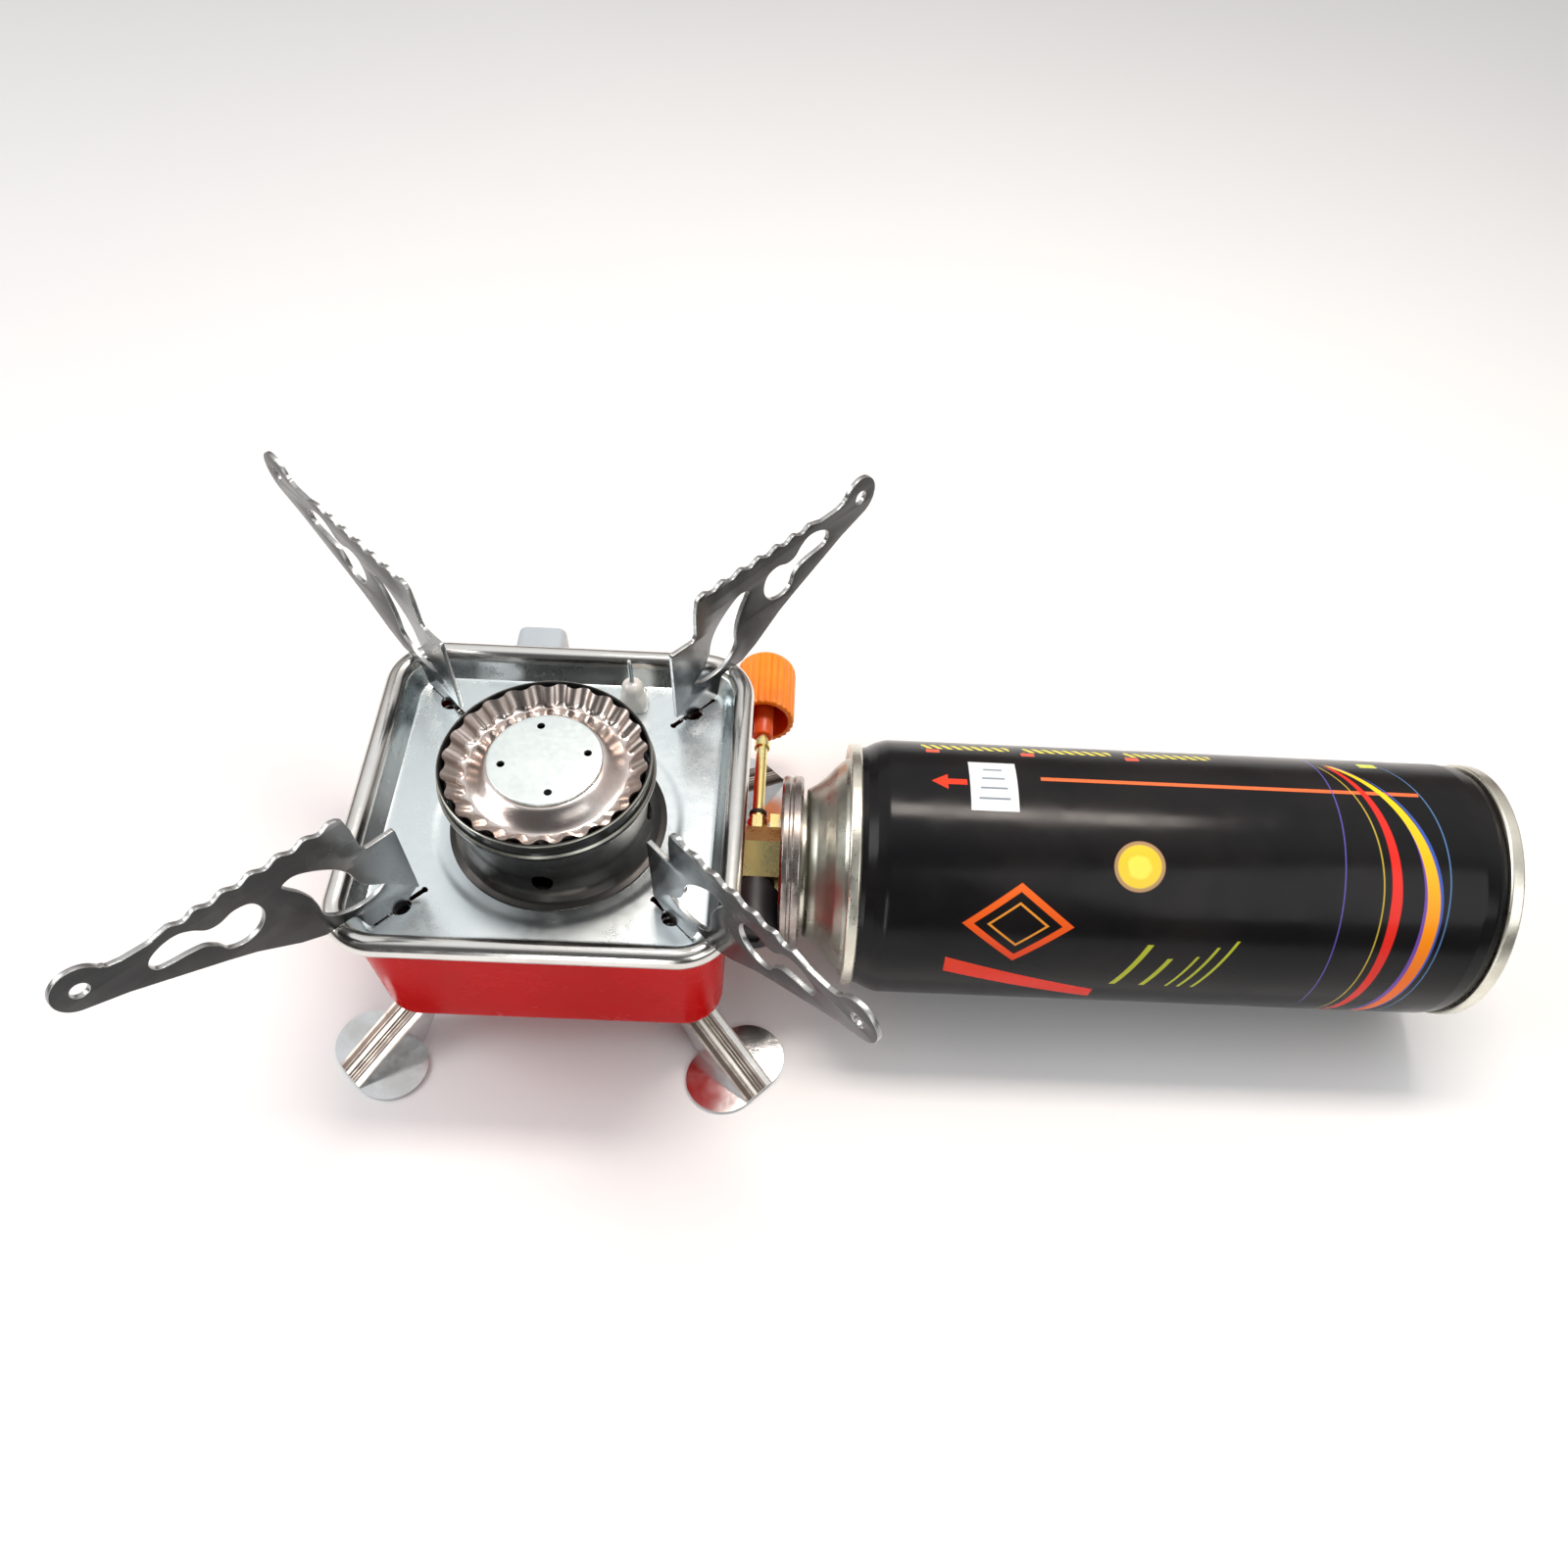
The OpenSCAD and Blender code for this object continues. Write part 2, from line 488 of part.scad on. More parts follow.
module retainer_at(sx, sy, a) {
  translate([sx * arm_pivot, sy * arm_pivot, 38.6]) rotate(a) difference() {
    cylinder(r = 3.9, h = 0.9, $fn = 48);
    translate([-1.8, -arm_t / 2, -1]) cube([3.6, arm_t, 3]);
  }
}
module arm_retainer_front_left() { color("gray") retainer_at(-1, -1, arm_dir[0]); }
module arm_retainer_front_right() { color("gray") retainer_at(1, -1, arm_dir[1]); }
module arm_retainer_back_left() { color("gray") retainer_at(-1, 1, arm_dir[2]); }
module arm_retainer_back_right() { color("gray") retainer_at(1, 1, arm_dir[3]); }
// Coil spring round an arm's tongue, between the retainer and the tray
module arm_springs() {
  turns = 5;
  n = turns * 12;
  z0 = 40;
  z1 = tray_floor_z - tray_t - 0.35;
  color("silver") for (x = [-1, 1], y = [-1, 1]) translate([x * arm_pivot, y * arm_pivot, 0])
    swept([for (i = [0 : n]) let (a = 360 * turns * i / n, u = i / n, s = max(0, min(1, (u - 0.1) / 0.8))) [3.1 * cos(a), 3.1 * sin(a), z0 + (z1 - z0) * (0.06 * u + 0.94 * s)]], 0.33, 6, [0, 0, 1]);
}

// ---------------------------------------------------------------- legs
leg_top = pan_z - 0.9;
foot_at = 23.2;
leg_end = foot_at + foot_r;
module leg_side() {
  polygon([[-6, leg_top], [7.5, leg_top], [9, leg_top - 0.5], [leg_end, 1.3], [leg_end, 0], [foot_at - foot_r + 0.4, 0], [foot_at - foot_r - 0.6, 1.2],
           [7, leg_top - 4.6], [4, leg_top - 3.4], [-6, leg_top - 3.4]]);
}
module leg_strip() {
  t = 0.9;
  polygon([[-6, leg_top], [7.5, leg_top], [9, leg_top - 0.5], [leg_end, 1.3], [leg_end, 1.3 - 0.95], [leg_end - 0.5, 0.62], [8.7, leg_top - 0.5 - t], [7.4, leg_top - t], [-6, leg_top - t]]);
}
module leg_solid() {
  t = 0.9;
  difference() {
    union() {
      rotate([90, 0, 0]) linear_extrude(height = leg_w, center = true) leg_strip();
      for (s = [-1, 1]) translate([0, s * (leg_w - t) / 2, 0]) rotate([90, 0, 0]) linear_extrude(height = t, center = true) leg_side();
      for (s = [-1, 1]) intersection() {
        translate([foot_at, s * (leg_w / 2 - 0.05), 0]) cylinder(r = foot_r, h = 0.9, $fn = 96);
        translate([foot_at - 20, s > 0 ? leg_w / 2 - 0.05 : -leg_w / 2 + 0.05 - 20, -1]) cube([40, 20, 4]);
      }
    }
    translate([0, 0, 5]) cylinder(r = 2.45, h = 20, $fn = 48);
  }
}
module leg_at(sx, sy, a) { translate([sx * leg_pivot, sy * leg_pivot, 0]) rotate(a) leg_solid(); }
module leg_front_left() { color(tin) leg_at(-1, -1, 225); }
module leg_front_right() { color(tin) leg_at(1, -1, 315); }
module leg_back_left() { color(tin) leg_at(-1, 1, 135); }
module leg_back_right() { color(tin) leg_at(1, 1, 45); }
module leg_rivets() {
  color("silver") for (x = [-1, 1], y = [-1, 1]) translate([x * leg_pivot, y * leg_pivot, 0]) {
    translate([0, 0, leg_top - 2.3]) cylinder(r = 3.3, h = 1.3, $fn = 48);
    translate([0, 0, leg_top - 1.1]) cylinder(r = 2.4, h = pan_z + 0.8 - leg_top + 1.1, $fn = 48);
    translate([0, 0, pan_z + 0.8]) cylinder(r = 3.6, h = 1, $fn = 48);
  }
}
module leg_washers() {
  color("gray") for (x = [-1, 1], y = [-1, 1]) translate([x * leg_pivot, y * leg_pivot, leg_top + 0.1]) difference() {
    cylinder(r = 4.6, h = pan_z - leg_top - 0.1, $fn = 48);
    translate([0, 0, -1]) cylinder(r = 2.4, h = 4, $fn = 48);
  }
}

// ---------------------------------------------------------------- cartridge
module cartridge_can() {
  r = can_r;
  color([0.06, 0.06, 0.06]) on_axis() polygon([[30.9, can_x0 + 3.3], [31.2, can_x0 + 4.4], [32.5, can_x0 + 7], [r, can_x0 + 9.6], [r, can_x1 - 9], [r - 0.5, can_x1 - 6], [32, can_x1 - 3.6],
    [31.6, can_x1 - 3.6], [r - 1, can_x1 - 6.3], [r - 0.5, can_x1 - 9.2], [r - 0.5, can_x0 + 9.8], [32.1, can_x0 + 7.3], [30.6, can_x0 + 4.6], [30.4, can_x0 + 3.3]]);
}
module cartridge_top_end() {
  x = can_x0;
  color([0.55, 0.56, 0.5]) on_axis() polygon([[17.2, x - 10.2], [19.4, x - 10.2], [19.8, x - 9.9], [21, x - 7.6], [22.9, x - 5.2], [25.6, x - 2.9], [27.4, x - 0.8], [28.1, x + 0.7], [29, x + 0.9],
    [29.8, x], [31.5, x], [31.9, x + 0.4], [31.9, x + 2.8], [31.5, x + 3.2], [29.4, x + 3.2], [28.6, x + 2.4], [27.5, x + 1], [26.7, x - 0.6], [25.1, x - 2.5], [22.4, x - 4.8], [20.4, x - 7.2], [19.3, x - 9.5], [17.2, x - 9.5]]);
}
module cartridge_base_end() {
  x = can_x1;
  color([0.75, 0.75, 0.7]) on_axis() polygon([[0, x - 7], [12, x - 6.6], [22, x - 5], [28, x - 2.8], [29.6, x - 2.4], [30.3, x - 2.6], [30.6, x - 3.5], [32.9, x - 3.5], [33.3, x - 3.1],
    [33.3, x - 0.4], [32.9, x], [31, x], [30.6, x - 0.4], [30.4, x - 1.7], [29.6, x - 1.8], [27.8, x - 2.2], [21.8, x - 4.4], [12, x - 6], [0, x - 6.4]]);
}
module cartridge_collar() {
  x = can_x0;
  color([0.8, 0.8, 0.78]) difference() {
    on_axis() polygon([[2.6, x - 11.6], [6.6, x - 11.6], [6.6, x - 9.4], [13, x - 9.6], [15.4, x - 10.8], [16.2, x - 13.6], [20, x - 13.6], [20.5, x - 13.2], [20.5, x - 12.6],
      [20.1, x - 12.4], [17.1, x - 12.4], [17.1, x - 8.8], [16.6, x - 8.2], [2.6, x - 8.8]]);
    translate([x - 16, ay - 2, axis_z + 17.9]) cube([4, 4, 5]);
  }
}
module cartridge_nozzle() {
  x = can_x0;
  color("white") on_axis() polygon([[0.7, x - 16.2], [1.7, x - 16.2], [2, x - 15.8], [2, x - 11.8], [2.6, x - 11.6], [2.6, x - 8.8], [0.7, x - 8.8]]);
}

body_shell();
top_tray();
leg_rivets();
leg_washers();
burner_cup();
mixing_bowl();
burner_ring();
flame_insert();
burner_disc();
burner_tube();
burner_screws();
gas_jet();
electrode_insulator();
electrode_wire();
ignition_lead();
piezo_igniter();
valve_body();
valve_gland_nut();
valve_bracket();
bracket_screws();
regulator_housing();
adapter_plate();
adapter_seal();
arm_springs();
pot_arm_front_left();
pot_arm_front_right();
pot_arm_back_left();
pot_arm_back_right();
arm_retainer_front_left();
arm_retainer_front_right();
arm_retainer_back_left();
arm_retainer_back_right();
leg_front_left();
leg_front_right();
leg_back_left();
leg_back_right();
valve_stem();
stem_seal();
control_knob();
igniter_button();
igniter_plunger();
cartridge_can();
cartridge_top_end();
cartridge_base_end();
cartridge_collar();
cartridge_nozzle();
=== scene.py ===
import math

import bmesh
import bpy
from mathutils import Matrix, Vector


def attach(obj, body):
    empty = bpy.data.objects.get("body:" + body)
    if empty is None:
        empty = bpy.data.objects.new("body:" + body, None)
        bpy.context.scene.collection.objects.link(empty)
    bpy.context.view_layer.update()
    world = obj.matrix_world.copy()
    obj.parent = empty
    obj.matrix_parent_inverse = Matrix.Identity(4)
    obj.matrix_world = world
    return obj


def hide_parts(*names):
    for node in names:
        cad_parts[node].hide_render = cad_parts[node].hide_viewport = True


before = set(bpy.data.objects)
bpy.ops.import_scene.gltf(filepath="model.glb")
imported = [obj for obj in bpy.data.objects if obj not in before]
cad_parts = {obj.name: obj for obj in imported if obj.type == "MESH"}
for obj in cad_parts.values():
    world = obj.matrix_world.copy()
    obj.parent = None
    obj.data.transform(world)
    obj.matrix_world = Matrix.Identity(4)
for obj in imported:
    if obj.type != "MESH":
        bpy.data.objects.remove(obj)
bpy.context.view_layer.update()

MM = 0.001
BX, BY = 1.7, -5.1          # burner axis
AY, AZ = -2.9, 35.0         # valve and cartridge axis
STEM_X = 50.7
BTN_X, BTN_Z = -12.8, 45.5
ELEC = (16.5, 34.4)
PIVOT = 32.3
CAN0, CAN1 = 74.0, 236.7
FLOOR_Z = 52.5
BEAD_Z = 56.85
CORNERS = {"front_left": (-1, -1, 226.3), "front_right": (1, -1, 314.0), "back_left": (-1, 1, 136.0), "back_right": (1, 1, 46.8)}


# ------------------------------------------------------------------ shading
class Nodes:
    """Small builder for a procedural material."""

    def __init__(self, name):
        self.mat = bpy.data.materials.new(name)
        self.mat.use_nodes = True
        self.t = self.mat.node_tree
        self.b = self.t.nodes["Principled BSDF"]
        self.coord = self.t.nodes.new("ShaderNodeTexCoord").outputs["Object"]

    def add(self, kind, **inputs):
        n = self.t.nodes.new(kind)
        for k, v in inputs.items():
            if k.startswith("p_"):
                setattr(n, k[2:], v)
        for k, v in inputs.items():
            if k.startswith("p_"):
                continue
            key = int(k[1:]) if k[0] == "i" and k[1:].isdigit() else k.replace("_", " ")
            self.put(n.inputs[key], v)
        return n

    def put(self, socket, v):
        if isinstance(v, bpy.types.NodeSocket):
            self.t.links.new(v, socket)
        else:
            socket.default_value = v

    def math(self, op, a, b=0.0, c=0.0, clamp=False):
        n = self.add("ShaderNodeMath", p_operation=op, p_use_clamp=clamp)
        self.put(n.inputs[0], a)
        self.put(n.inputs[1], b)
        self.put(n.inputs[2], c)
        return n.outputs[0]

    def scaled(self, sx, sy, sz, rot=(0, 0, 0)):
        return self.add("ShaderNodeMapping", Vector=self.coord, Scale=(sx, sy, sz), Rotation=rot).outputs[0]

    def noise(self, scale, detail=4.0, rough=0.55, vec=None, distortion=0.0):
        return self.add("ShaderNodeTexNoise", Vector=vec or self.coord, Scale=scale, Detail=detail, Roughness=rough, Distortion=distortion).outputs["Fac"]

    def span(self, v, a, b, c, d, smooth=True):
        n = self.add("ShaderNodeMapRange", p_clamp=True, p_interpolation_type="SMOOTHSTEP" if smooth else "LINEAR")
        for i, x in enumerate((v, a, b, c, d)):
            self.put(n.inputs[i], x)
        return n.outputs[0]

    def mix(self, fac, a, b):
        n = self.add("ShaderNodeMix", p_data_type="RGBA")
        self.put(n.inputs["Factor"], fac)
        self.put(n.inputs[6], a)
        self.put(n.inputs[7], b)
        return n.outputs[2]

    def bump(self, height, strength, dist):
        prev = self.b.inputs["Normal"].links
        n = self.add("ShaderNodeBump", Height=height, Strength=strength, Distance=dist)
        if prev:
            self.t.links.new(prev[0].from_socket, n.inputs["Normal"])
        self.t.links.new(n.outputs[0], self.b.inputs["Normal"])

    def set(self, **kw):
        for k, v in kw.items():
            self.put(self.b.inputs[k.replace("_", " ")], v)
        return self


def rgba(r, g, b):
    return (r, g, b, 1.0)


def metal(name, col, rough, col2=None, rough2=None, scale=60.0, wave=0.0, wave_scale=25.0, scratch=0.0, aniso=0.0, grime=0.0):
    """Plated or polished sheet: cloudy tint, uneven gloss, faint scratches and a slow waviness."""
    n = Nodes(name)
    cloud = n.noise(scale, 5.0, 0.6)
    fine = n.noise(scale * 11, 3.0, 0.5)
    tint = n.span(cloud, 0.35, 0.68, 0.0, 1.0)
    color = n.mix(tint, rgba(*col), rgba(*(col2 or [c * 0.82 for c in col])))
    if grime > 0:
        spots = n.span(n.noise(scale * 3.3, 6.0, 0.7), 0.58, 0.74, 0.0, grime)
        color = n.mix(spots, color, rgba(0.11, 0.08, 0.06))
    ro = n.span(n.math("ADD", n.math("MULTIPLY", cloud, 0.7), n.math("MULTIPLY", fine, 0.3)), 0.35, 0.68, rough, rough2 or rough * 1.7)
    n.set(Base_Color=color, Metallic=1.0, Roughness=ro)
    if aniso:
        n.set(Anisotropic=aniso)
    if wave:
        n.bump(n.noise(wave_scale, 2.0, 0.4), wave, 0.002)
    if scratch:
        s1 = n.noise(140.0, 2.0, 0.5, n.scaled(1.0, 22.0, 3.0, (0.2, 0.1, 0.6)))
        n.bump(s1, scratch, 0.00004)
    n.bump(fine, 0.04, 0.00005)
    return n.mat


def plastic(name, col, rough, col2=None, sss=0.0, grain=0.12, coat=0.0, grain_scale=1500.0):
    n = Nodes(name)
    cloud = n.noise(45.0, 4.0, 0.6)
    n.set(Base_Color=n.mix(n.span(cloud, 0.35, 0.7, 0.0, 1.0), rgba(*col), rgba(*(col2 or [c * 0.86 for c in col]))),
          Roughness=n.span(n.noise(160.0, 4.0), 0.3, 0.7, rough, rough * 1.4))
    if sss:
        n.set(Subsurface_Weight=sss, Subsurface_Scale=0.004)
    if coat:
        n.set(Coat_Weight=coat, Coat_Roughness=0.08)
    n.bump(n.noise(grain_scale, 2.0), grain, 0.00006)
    return n.mat


def enamel(name, col, deep):
    """Glossy baked enamel with a slight orange peel and fine dust nibs."""
    n = Nodes(name)
    n.set(Base_Color=n.mix(n.span(n.noise(28.0, 4.0), 0.35, 0.7, 0.0, 1.0), rgba(*col), rgba(*deep)),
          Roughness=n.span(n.noise(90.0, 5.0, 0.6), 0.35, 0.7, 0.20, 0.30), Specular_IOR_Level=0.08)
    n.bump(n.noise(420.0, 2.0, 0.4), 0.05, 0.00008)
    n.bump(n.noise(30.0, 2.0, 0.4), 0.12, 0.0006)
    return n.mat


TIN = metal("tin_plate", (0.75, 0.81, 0.82), 0.25, (0.68, 0.74, 0.76), 0.35, scale=38.0, wave=0.10, wave_scale=24.0, scratch=0.06)
TIN_RIM = metal("tin_rim", (0.80, 0.79, 0.76), 0.15, (0.68, 0.66, 0.62), 0.24, scale=55.0, wave=0.06, wave_scale=45.0, scratch=0.12)
def arm_metal():
    """Plated arm sheet: darker toward the tip, all painted reflection: a lighter tone near the stove centre stands in
    for the mirrored tray, a near-black tone further out for mirrored dark surroundings; slow dark clouds and long fine
    scratches.
    """
    n = Nodes("arm_plate")
    sep = n.add("ShaderNodeSeparateXYZ", Vector=n.coord)
    d = n.math("SQRT", n.math("ADD", n.math("MULTIPLY", sep.outputs[0], sep.outputs[0]), n.math("MULTIPLY", sep.outputs[1], sep.outputs[1])))
    d = n.math("ADD", d, n.math("MULTIPLY", n.math("SUBTRACT", n.noise(34.0, 3.0), 0.5), 0.05))
    # painted reflection: lighter where the plate would mirror the tray, near the stove centre
    tray_reflection_paint = n.span(d, 0.044, 0.060, 1.0, 0.0)
    cloud = n.noise(40.0, 4.0, 0.6)
    # near-black base tone: painted reflection of dark surroundings, varied by slow random clouds
    dark = n.mix(n.span(cloud, 0.38, 0.62, 0.0, 1.0), rgba(0.072, 0.073, 0.073), rgba(0.048, 0.049, 0.050))
    n.set(Base_Color=n.mix(tray_reflection_paint, dark, rgba(0.30, 0.31, 0.32)), Metallic=1.0, Roughness=n.span(cloud, 0.35, 0.68, 0.20, 0.32))
    n.bump(n.noise(22.0, 2.0, 0.4), 0.10, 0.002)
    n.bump(n.noise(140.0, 2.0, 0.5, n.scaled(1.0, 22.0, 3.0, (0.2, 0.1, 0.6))), 0.3, 0.00004)
    n.bump(n.noise(900.0, 3.0), 0.05, 0.00004)
    return n.mat


ARM_PAINTED_REFLECTION = arm_metal()
ARM_EDGE = metal("arm_cut_edge", (0.52, 0.53, 0.52), 0.24, (0.34, 0.34, 0.34), 0.38, scale=160.0, scratch=0.4)
LEG = metal("leg_plate", (0.72, 0.73, 0.74), 0.12, (0.56, 0.55, 0.54), 0.24, scale=60.0, wave=0.16, wave_scale=60.0, scratch=0.3, grime=0.12)

def leg_metal(name, sign):
    """Polished leg channel: a brownish middle band between fold lines, which carry painted highlights and painted
    shade; sign picks the diagonal it runs along.
    """
    n = Nodes(name)
    sep = n.add("ShaderNodeSeparateXYZ", Vector=n.coord)
    x = n.math("SUBTRACT", n.math("ABSOLUTE", sep.outputs[0]), 0.031)
    y = n.math("SUBTRACT", n.math("ABSOLUTE", sep.outputs[1]), 0.031)
    lat = n.math("MULTIPLY", n.math("SUBTRACT", y, x), sign * 707.1)
    lat = n.math("ADD", lat, n.math("MULTIPLY", n.math("SUBTRACT", n.noise(60.0, 3.0), 0.5), 0.5))

    def line(c, w):
        return n.span(n.math("ABSOLUTE", n.math("SUBTRACT", lat, c)), w * 0.5, w, 1.0, 0.0)
    cloud = n.noise(90.0, 4.0, 0.6)
    col = n.mix(n.span(cloud, 0.36, 0.66, 0.0, 1.0), rgba(0.40, 0.35, 0.30), rgba(0.22, 0.18, 0.155))
    # channel edges: the dark line at one edge is painted shade, the bright line at the other edge a painted highlight
    col = n.mix(line(-3.2, 0.9), col, rgba(0.10, 0.075, 0.065))
    col = n.mix(line(3.3, 1.0), col, rgba(0.62, 0.60, 0.58))
    # inner fold: the bright ridge line is a painted highlight, the dark line beside it painted shade
    col = n.mix(line(-1.1, 0.5), col, rgba(0.66, 0.62, 0.57))
    col = n.mix(line(1.6, 0.45), col, rgba(0.12, 0.095, 0.085))
    n.set(Base_Color=col, Metallic=1.0, Roughness=n.span(cloud, 0.35, 0.68, 0.16, 0.34))
    ridge = n.math("SUBTRACT", line(-1.1, 1.2), line(1.6, 1.2))
    n.bump(ridge, 0.5, 0.0003)
    n.bump(n.noise(60.0, 2.0, 0.4), 0.12, 0.001)
    n.bump(n.noise(700.0, 3.0), 0.08, 0.00005)
    return n.mat


LEG_STRIP = leg_metal("leg_strip_a", 1.0)
LEG_STRIP_B = leg_metal("leg_strip_b", -1.0)
HARDWARE = metal("zinc_hardware", (0.62, 0.62, 0.60), 0.26, (0.46, 0.46, 0.45), 0.42, scale=150.0)
CUP = metal("dark_cup", (0.060, 0.057, 0.054), 0.32, (0.038, 0.035, 0.034), 0.42, scale=70.0, wave=0.08, wave_scale=40.0, scratch=0.2)
INSERT = metal("flame_insert_steel", (0.76, 0.70, 0.66), 0.16, (0.60, 0.50, 0.46), 0.24, scale=80.0, wave=0.05, wave_scale=60.0, scratch=0.15)
INSERT_WALL = metal("flame_insert_wall", (0.50, 0.44, 0.41), 0.26, (0.36, 0.30, 0.27), 0.36, scale=90.0, wave=0.03, wave_scale=60.0, scratch=0.1)
DISC = metal("burner_disc_steel", (0.76, 0.82, 0.81), 0.30, (0.69, 0.76, 0.75), 0.44, scale=70.0, scratch=0.2)
BRASS = metal("turned_brass", (0.96, 0.84, 0.40), 0.24, (0.86, 0.70, 0.28), 0.36, scale=110.0, grime=0.25)
ADAPTER = metal("adapter_steel", (0.50, 0.45, 0.42), 0.20, (0.30, 0.26, 0.24), 0.34, scale=90.0, scratch=0.3, grime=0.2)
DOME = metal("cartridge_tin", (0.52, 0.52, 0.45), 0.26, (0.38, 0.38, 0.33), 0.40, scale=70.0, scratch=0.25)
SEAM = metal("cartridge_seam_tin", (0.80, 0.78, 0.68), 0.24, (0.64, 0.61, 0.52), 0.38, scale=70.0, scratch=0.3, wave=0.05, wave_scale=60.0)
BLACK_GLOSS = plastic("gloss_black_ring", (0.012, 0.012, 0.012), 0.16, (0.02, 0.02, 0.02), coat=0.2, grain=0.05)
for nd in BLACK_GLOSS.node_tree.nodes:
    if nd.type == "BSDF_PRINCIPLED":
        nd.inputs["Specular IOR Level"].default_value = 0.14
BLACK_PLASTIC = plastic("black_plastic", (0.018, 0.018, 0.02), 0.34, (0.03, 0.03, 0.032), grain=0.3)
RUBBER = plastic("black_rubber", (0.012, 0.012, 0.012), 0.55, (0.02, 0.02, 0.02), grain=0.4)
ORANGE = plastic("orange_plastic", (1.0, 0.27, 0.002), 0.28, (0.95, 0.22, 0.001), sss=0.10, grain=0.08, coat=0.25)
# darker, redder copy of the orange plastic: painted shade for the knob's inner sleeve and hub
ORANGE_PAINTED_SHADE = plastic("orange_plastic_painted_shade", (1.0, 0.13, 0.004), 0.32, (0.5, 0.045, 0.006), sss=0.1, grain=0.1)
GREY = plastic("grey_plastic", (0.47, 0.53, 0.57), 0.30, (0.42, 0.48, 0.52), sss=0.08, grain=0.15)
WHITE_PLASTIC = plastic("white_plastic", (0.80, 0.80, 0.76), 0.34, sss=0.1)
CERAMIC = plastic("white_ceramic", (0.70, 0.69, 0.65), 0.20, (0.78, 0.76, 0.71), sss=0.08, grain=0.1, coat=0.5)
RED = enamel("red_enamel", (0.58, 0.002, 0.003), (0.50, 0.0015, 0.002))


def cartridge_paint():
    """Gloss black tinplate with plain printed shapes, placed by length and by distance round the can."""
    n = Nodes("cartridge_print")
    sep = n.add("ShaderNodeSeparateXYZ", Vector=n.coord)
    x = n.math("MULTIPLY", sep.outputs[0], 1000.0)
    y = n.math("SUBTRACT", n.math("MULTIPLY", sep.outputs[1], 1000.0), AY)
    z = n.math("SUBTRACT", n.math("MULTIPLY", sep.outputs[2], 1000.0), AZ)
    th = n.math("ARCTAN2", z, n.math("MULTIPLY", y, -1.0))      # 0 at the front, a quarter turn at the top
    s = n.math("MULTIPLY", th, 33.2)
    base = n.mix(n.span(n.noise(30.0, 4.0), 0.35, 0.7, 0.0, 1.0), rgba(0.007, 0.007, 0.008), rgba(0.014, 0.012, 0.012))

    def band(v, lo, hi, soft=0.12):
        return n.math("MULTIPLY", n.span(v, lo - soft, lo + soft, 0.0, 1.0), n.span(v, hi - soft, hi + soft, 1.0, 0.0))

    def rect(x0, x1, s0, s1):
        return n.math("MULTIPLY", band(x, x0, x1), band(s, s0, s1))

    def over(mask, col):
        nonlocal base
        base = n.mix(mask, base, rgba(*col))

    # slanted dashes along the top
    slant = n.math("FRACT", n.math("DIVIDE", n.math("ADD", x, n.math("MULTIPLY", s, 0.6)), 2.6))
    dash = n.math("MULTIPLY", rect(92.0, 166.0, 70.2, 73.6), band(slant, 0.18, 0.72, 0.05))
    gaps = n.math("FRACT", n.math("DIVIDE", n.math("SUBTRACT", x, 92.0), 26.0))
    over(n.math("MULTIPLY", dash, n.math("LESS_THAN", gaps, 0.86)), (0.72, 0.62, 0.02))
    for xr in (93.0, 117.0, 143.5):
        over(rect(xr, xr + 3.4, 67.6, 69.6), (0.75, 0.10, 0.05))
    # arrow toward the collar, plain white panel, thin orange rule
    over(rect(97.5, 102.3, 54.4, 56.2), (0.80, 0.05, 0.02))
    head = n.math("LESS_THAN", n.math("ABSOLUTE", n.math("SUBTRACT", s, 55.3)), n.math("MULTIPLY", n.math("SUBTRACT", x, 93.6), 0.62))
    over(n.math("MULTIPLY", head, n.math("MULTIPLY", n.math("GREATER_THAN", x, 93.6), n.math("LESS_THAN", x, 97.6))), (0.80, 0.05, 0.02))
    over(rect(103.0, 114.6, 47.0, 63.2), (0.72, 0.76, 0.78))
    for k in range(4):
        over(rect(105.0 + 0.5 * k, 112.6 - 0.5 * k, 50.2 + 3.2 * k, 50.8 + 3.2 * k), (0.22, 0.26, 0.30))
    over(rect(120.5, 214.0, 56.9, 58.1), (0.78, 0.16, 0.05))
    # round badge
    dx = n.math("SUBTRACT", x, 143.4)
    ds = n.math("SUBTRACT", s, 34.6)
    rr = n.math("SQRT", n.math("ADD", n.math("MULTIPLY", dx, dx), n.math("MULTIPLY", ds, ds)))
    over(n.span(rr, 6.0, 6.3, 1.0, 0.0), (0.42, 0.26, 0.13))
    over(n.span(rr, 5.0, 5.5, 1.0, 0.0), (0.80, 0.58, 0.05))
    over(n.span(n.math("ADD", rr, n.math("MULTIPLY", n.noise(330.0, 3.0), 1.6)), 3.2, 4.0, 1.0, 0.0), (0.90, 0.74, 0.10))
    # red-orange diamond outline and one slanted bar near the front
    dx2 = n.math("ABSOLUTE", n.math("SUBTRACT", x, 115.5))
    ds2 = n.math("ABSOLUTE", n.math("SUBTRACT", s, 19.0))
    r2 = n.math("ADD", n.math("MULTIPLY", dx2, 0.78), ds2)
    flame = n.mix(n.span(s, 0.0, 28.0, 0.0, 1.0), rgba(0.80, 0.03, 0.012), rgba(0.85, 0.14, 0.02))
    base = n.mix(band(r2, 8.4, 10.6, 0.15), base, flame)
    base = n.mix(band(r2, 5.2, 5.9, 0.12), base, rgba(0.80, 0.30, 0.04))
    bar = n.math("MULTIPLY", band(n.math("ADD", s, n.math("MULTIPLY", n.math("SUBTRACT", x, 100.0), 0.30)), 3.2, 8.4), band(x, 99.0, 138.0))
    base = n.mix(bar, base, flame)

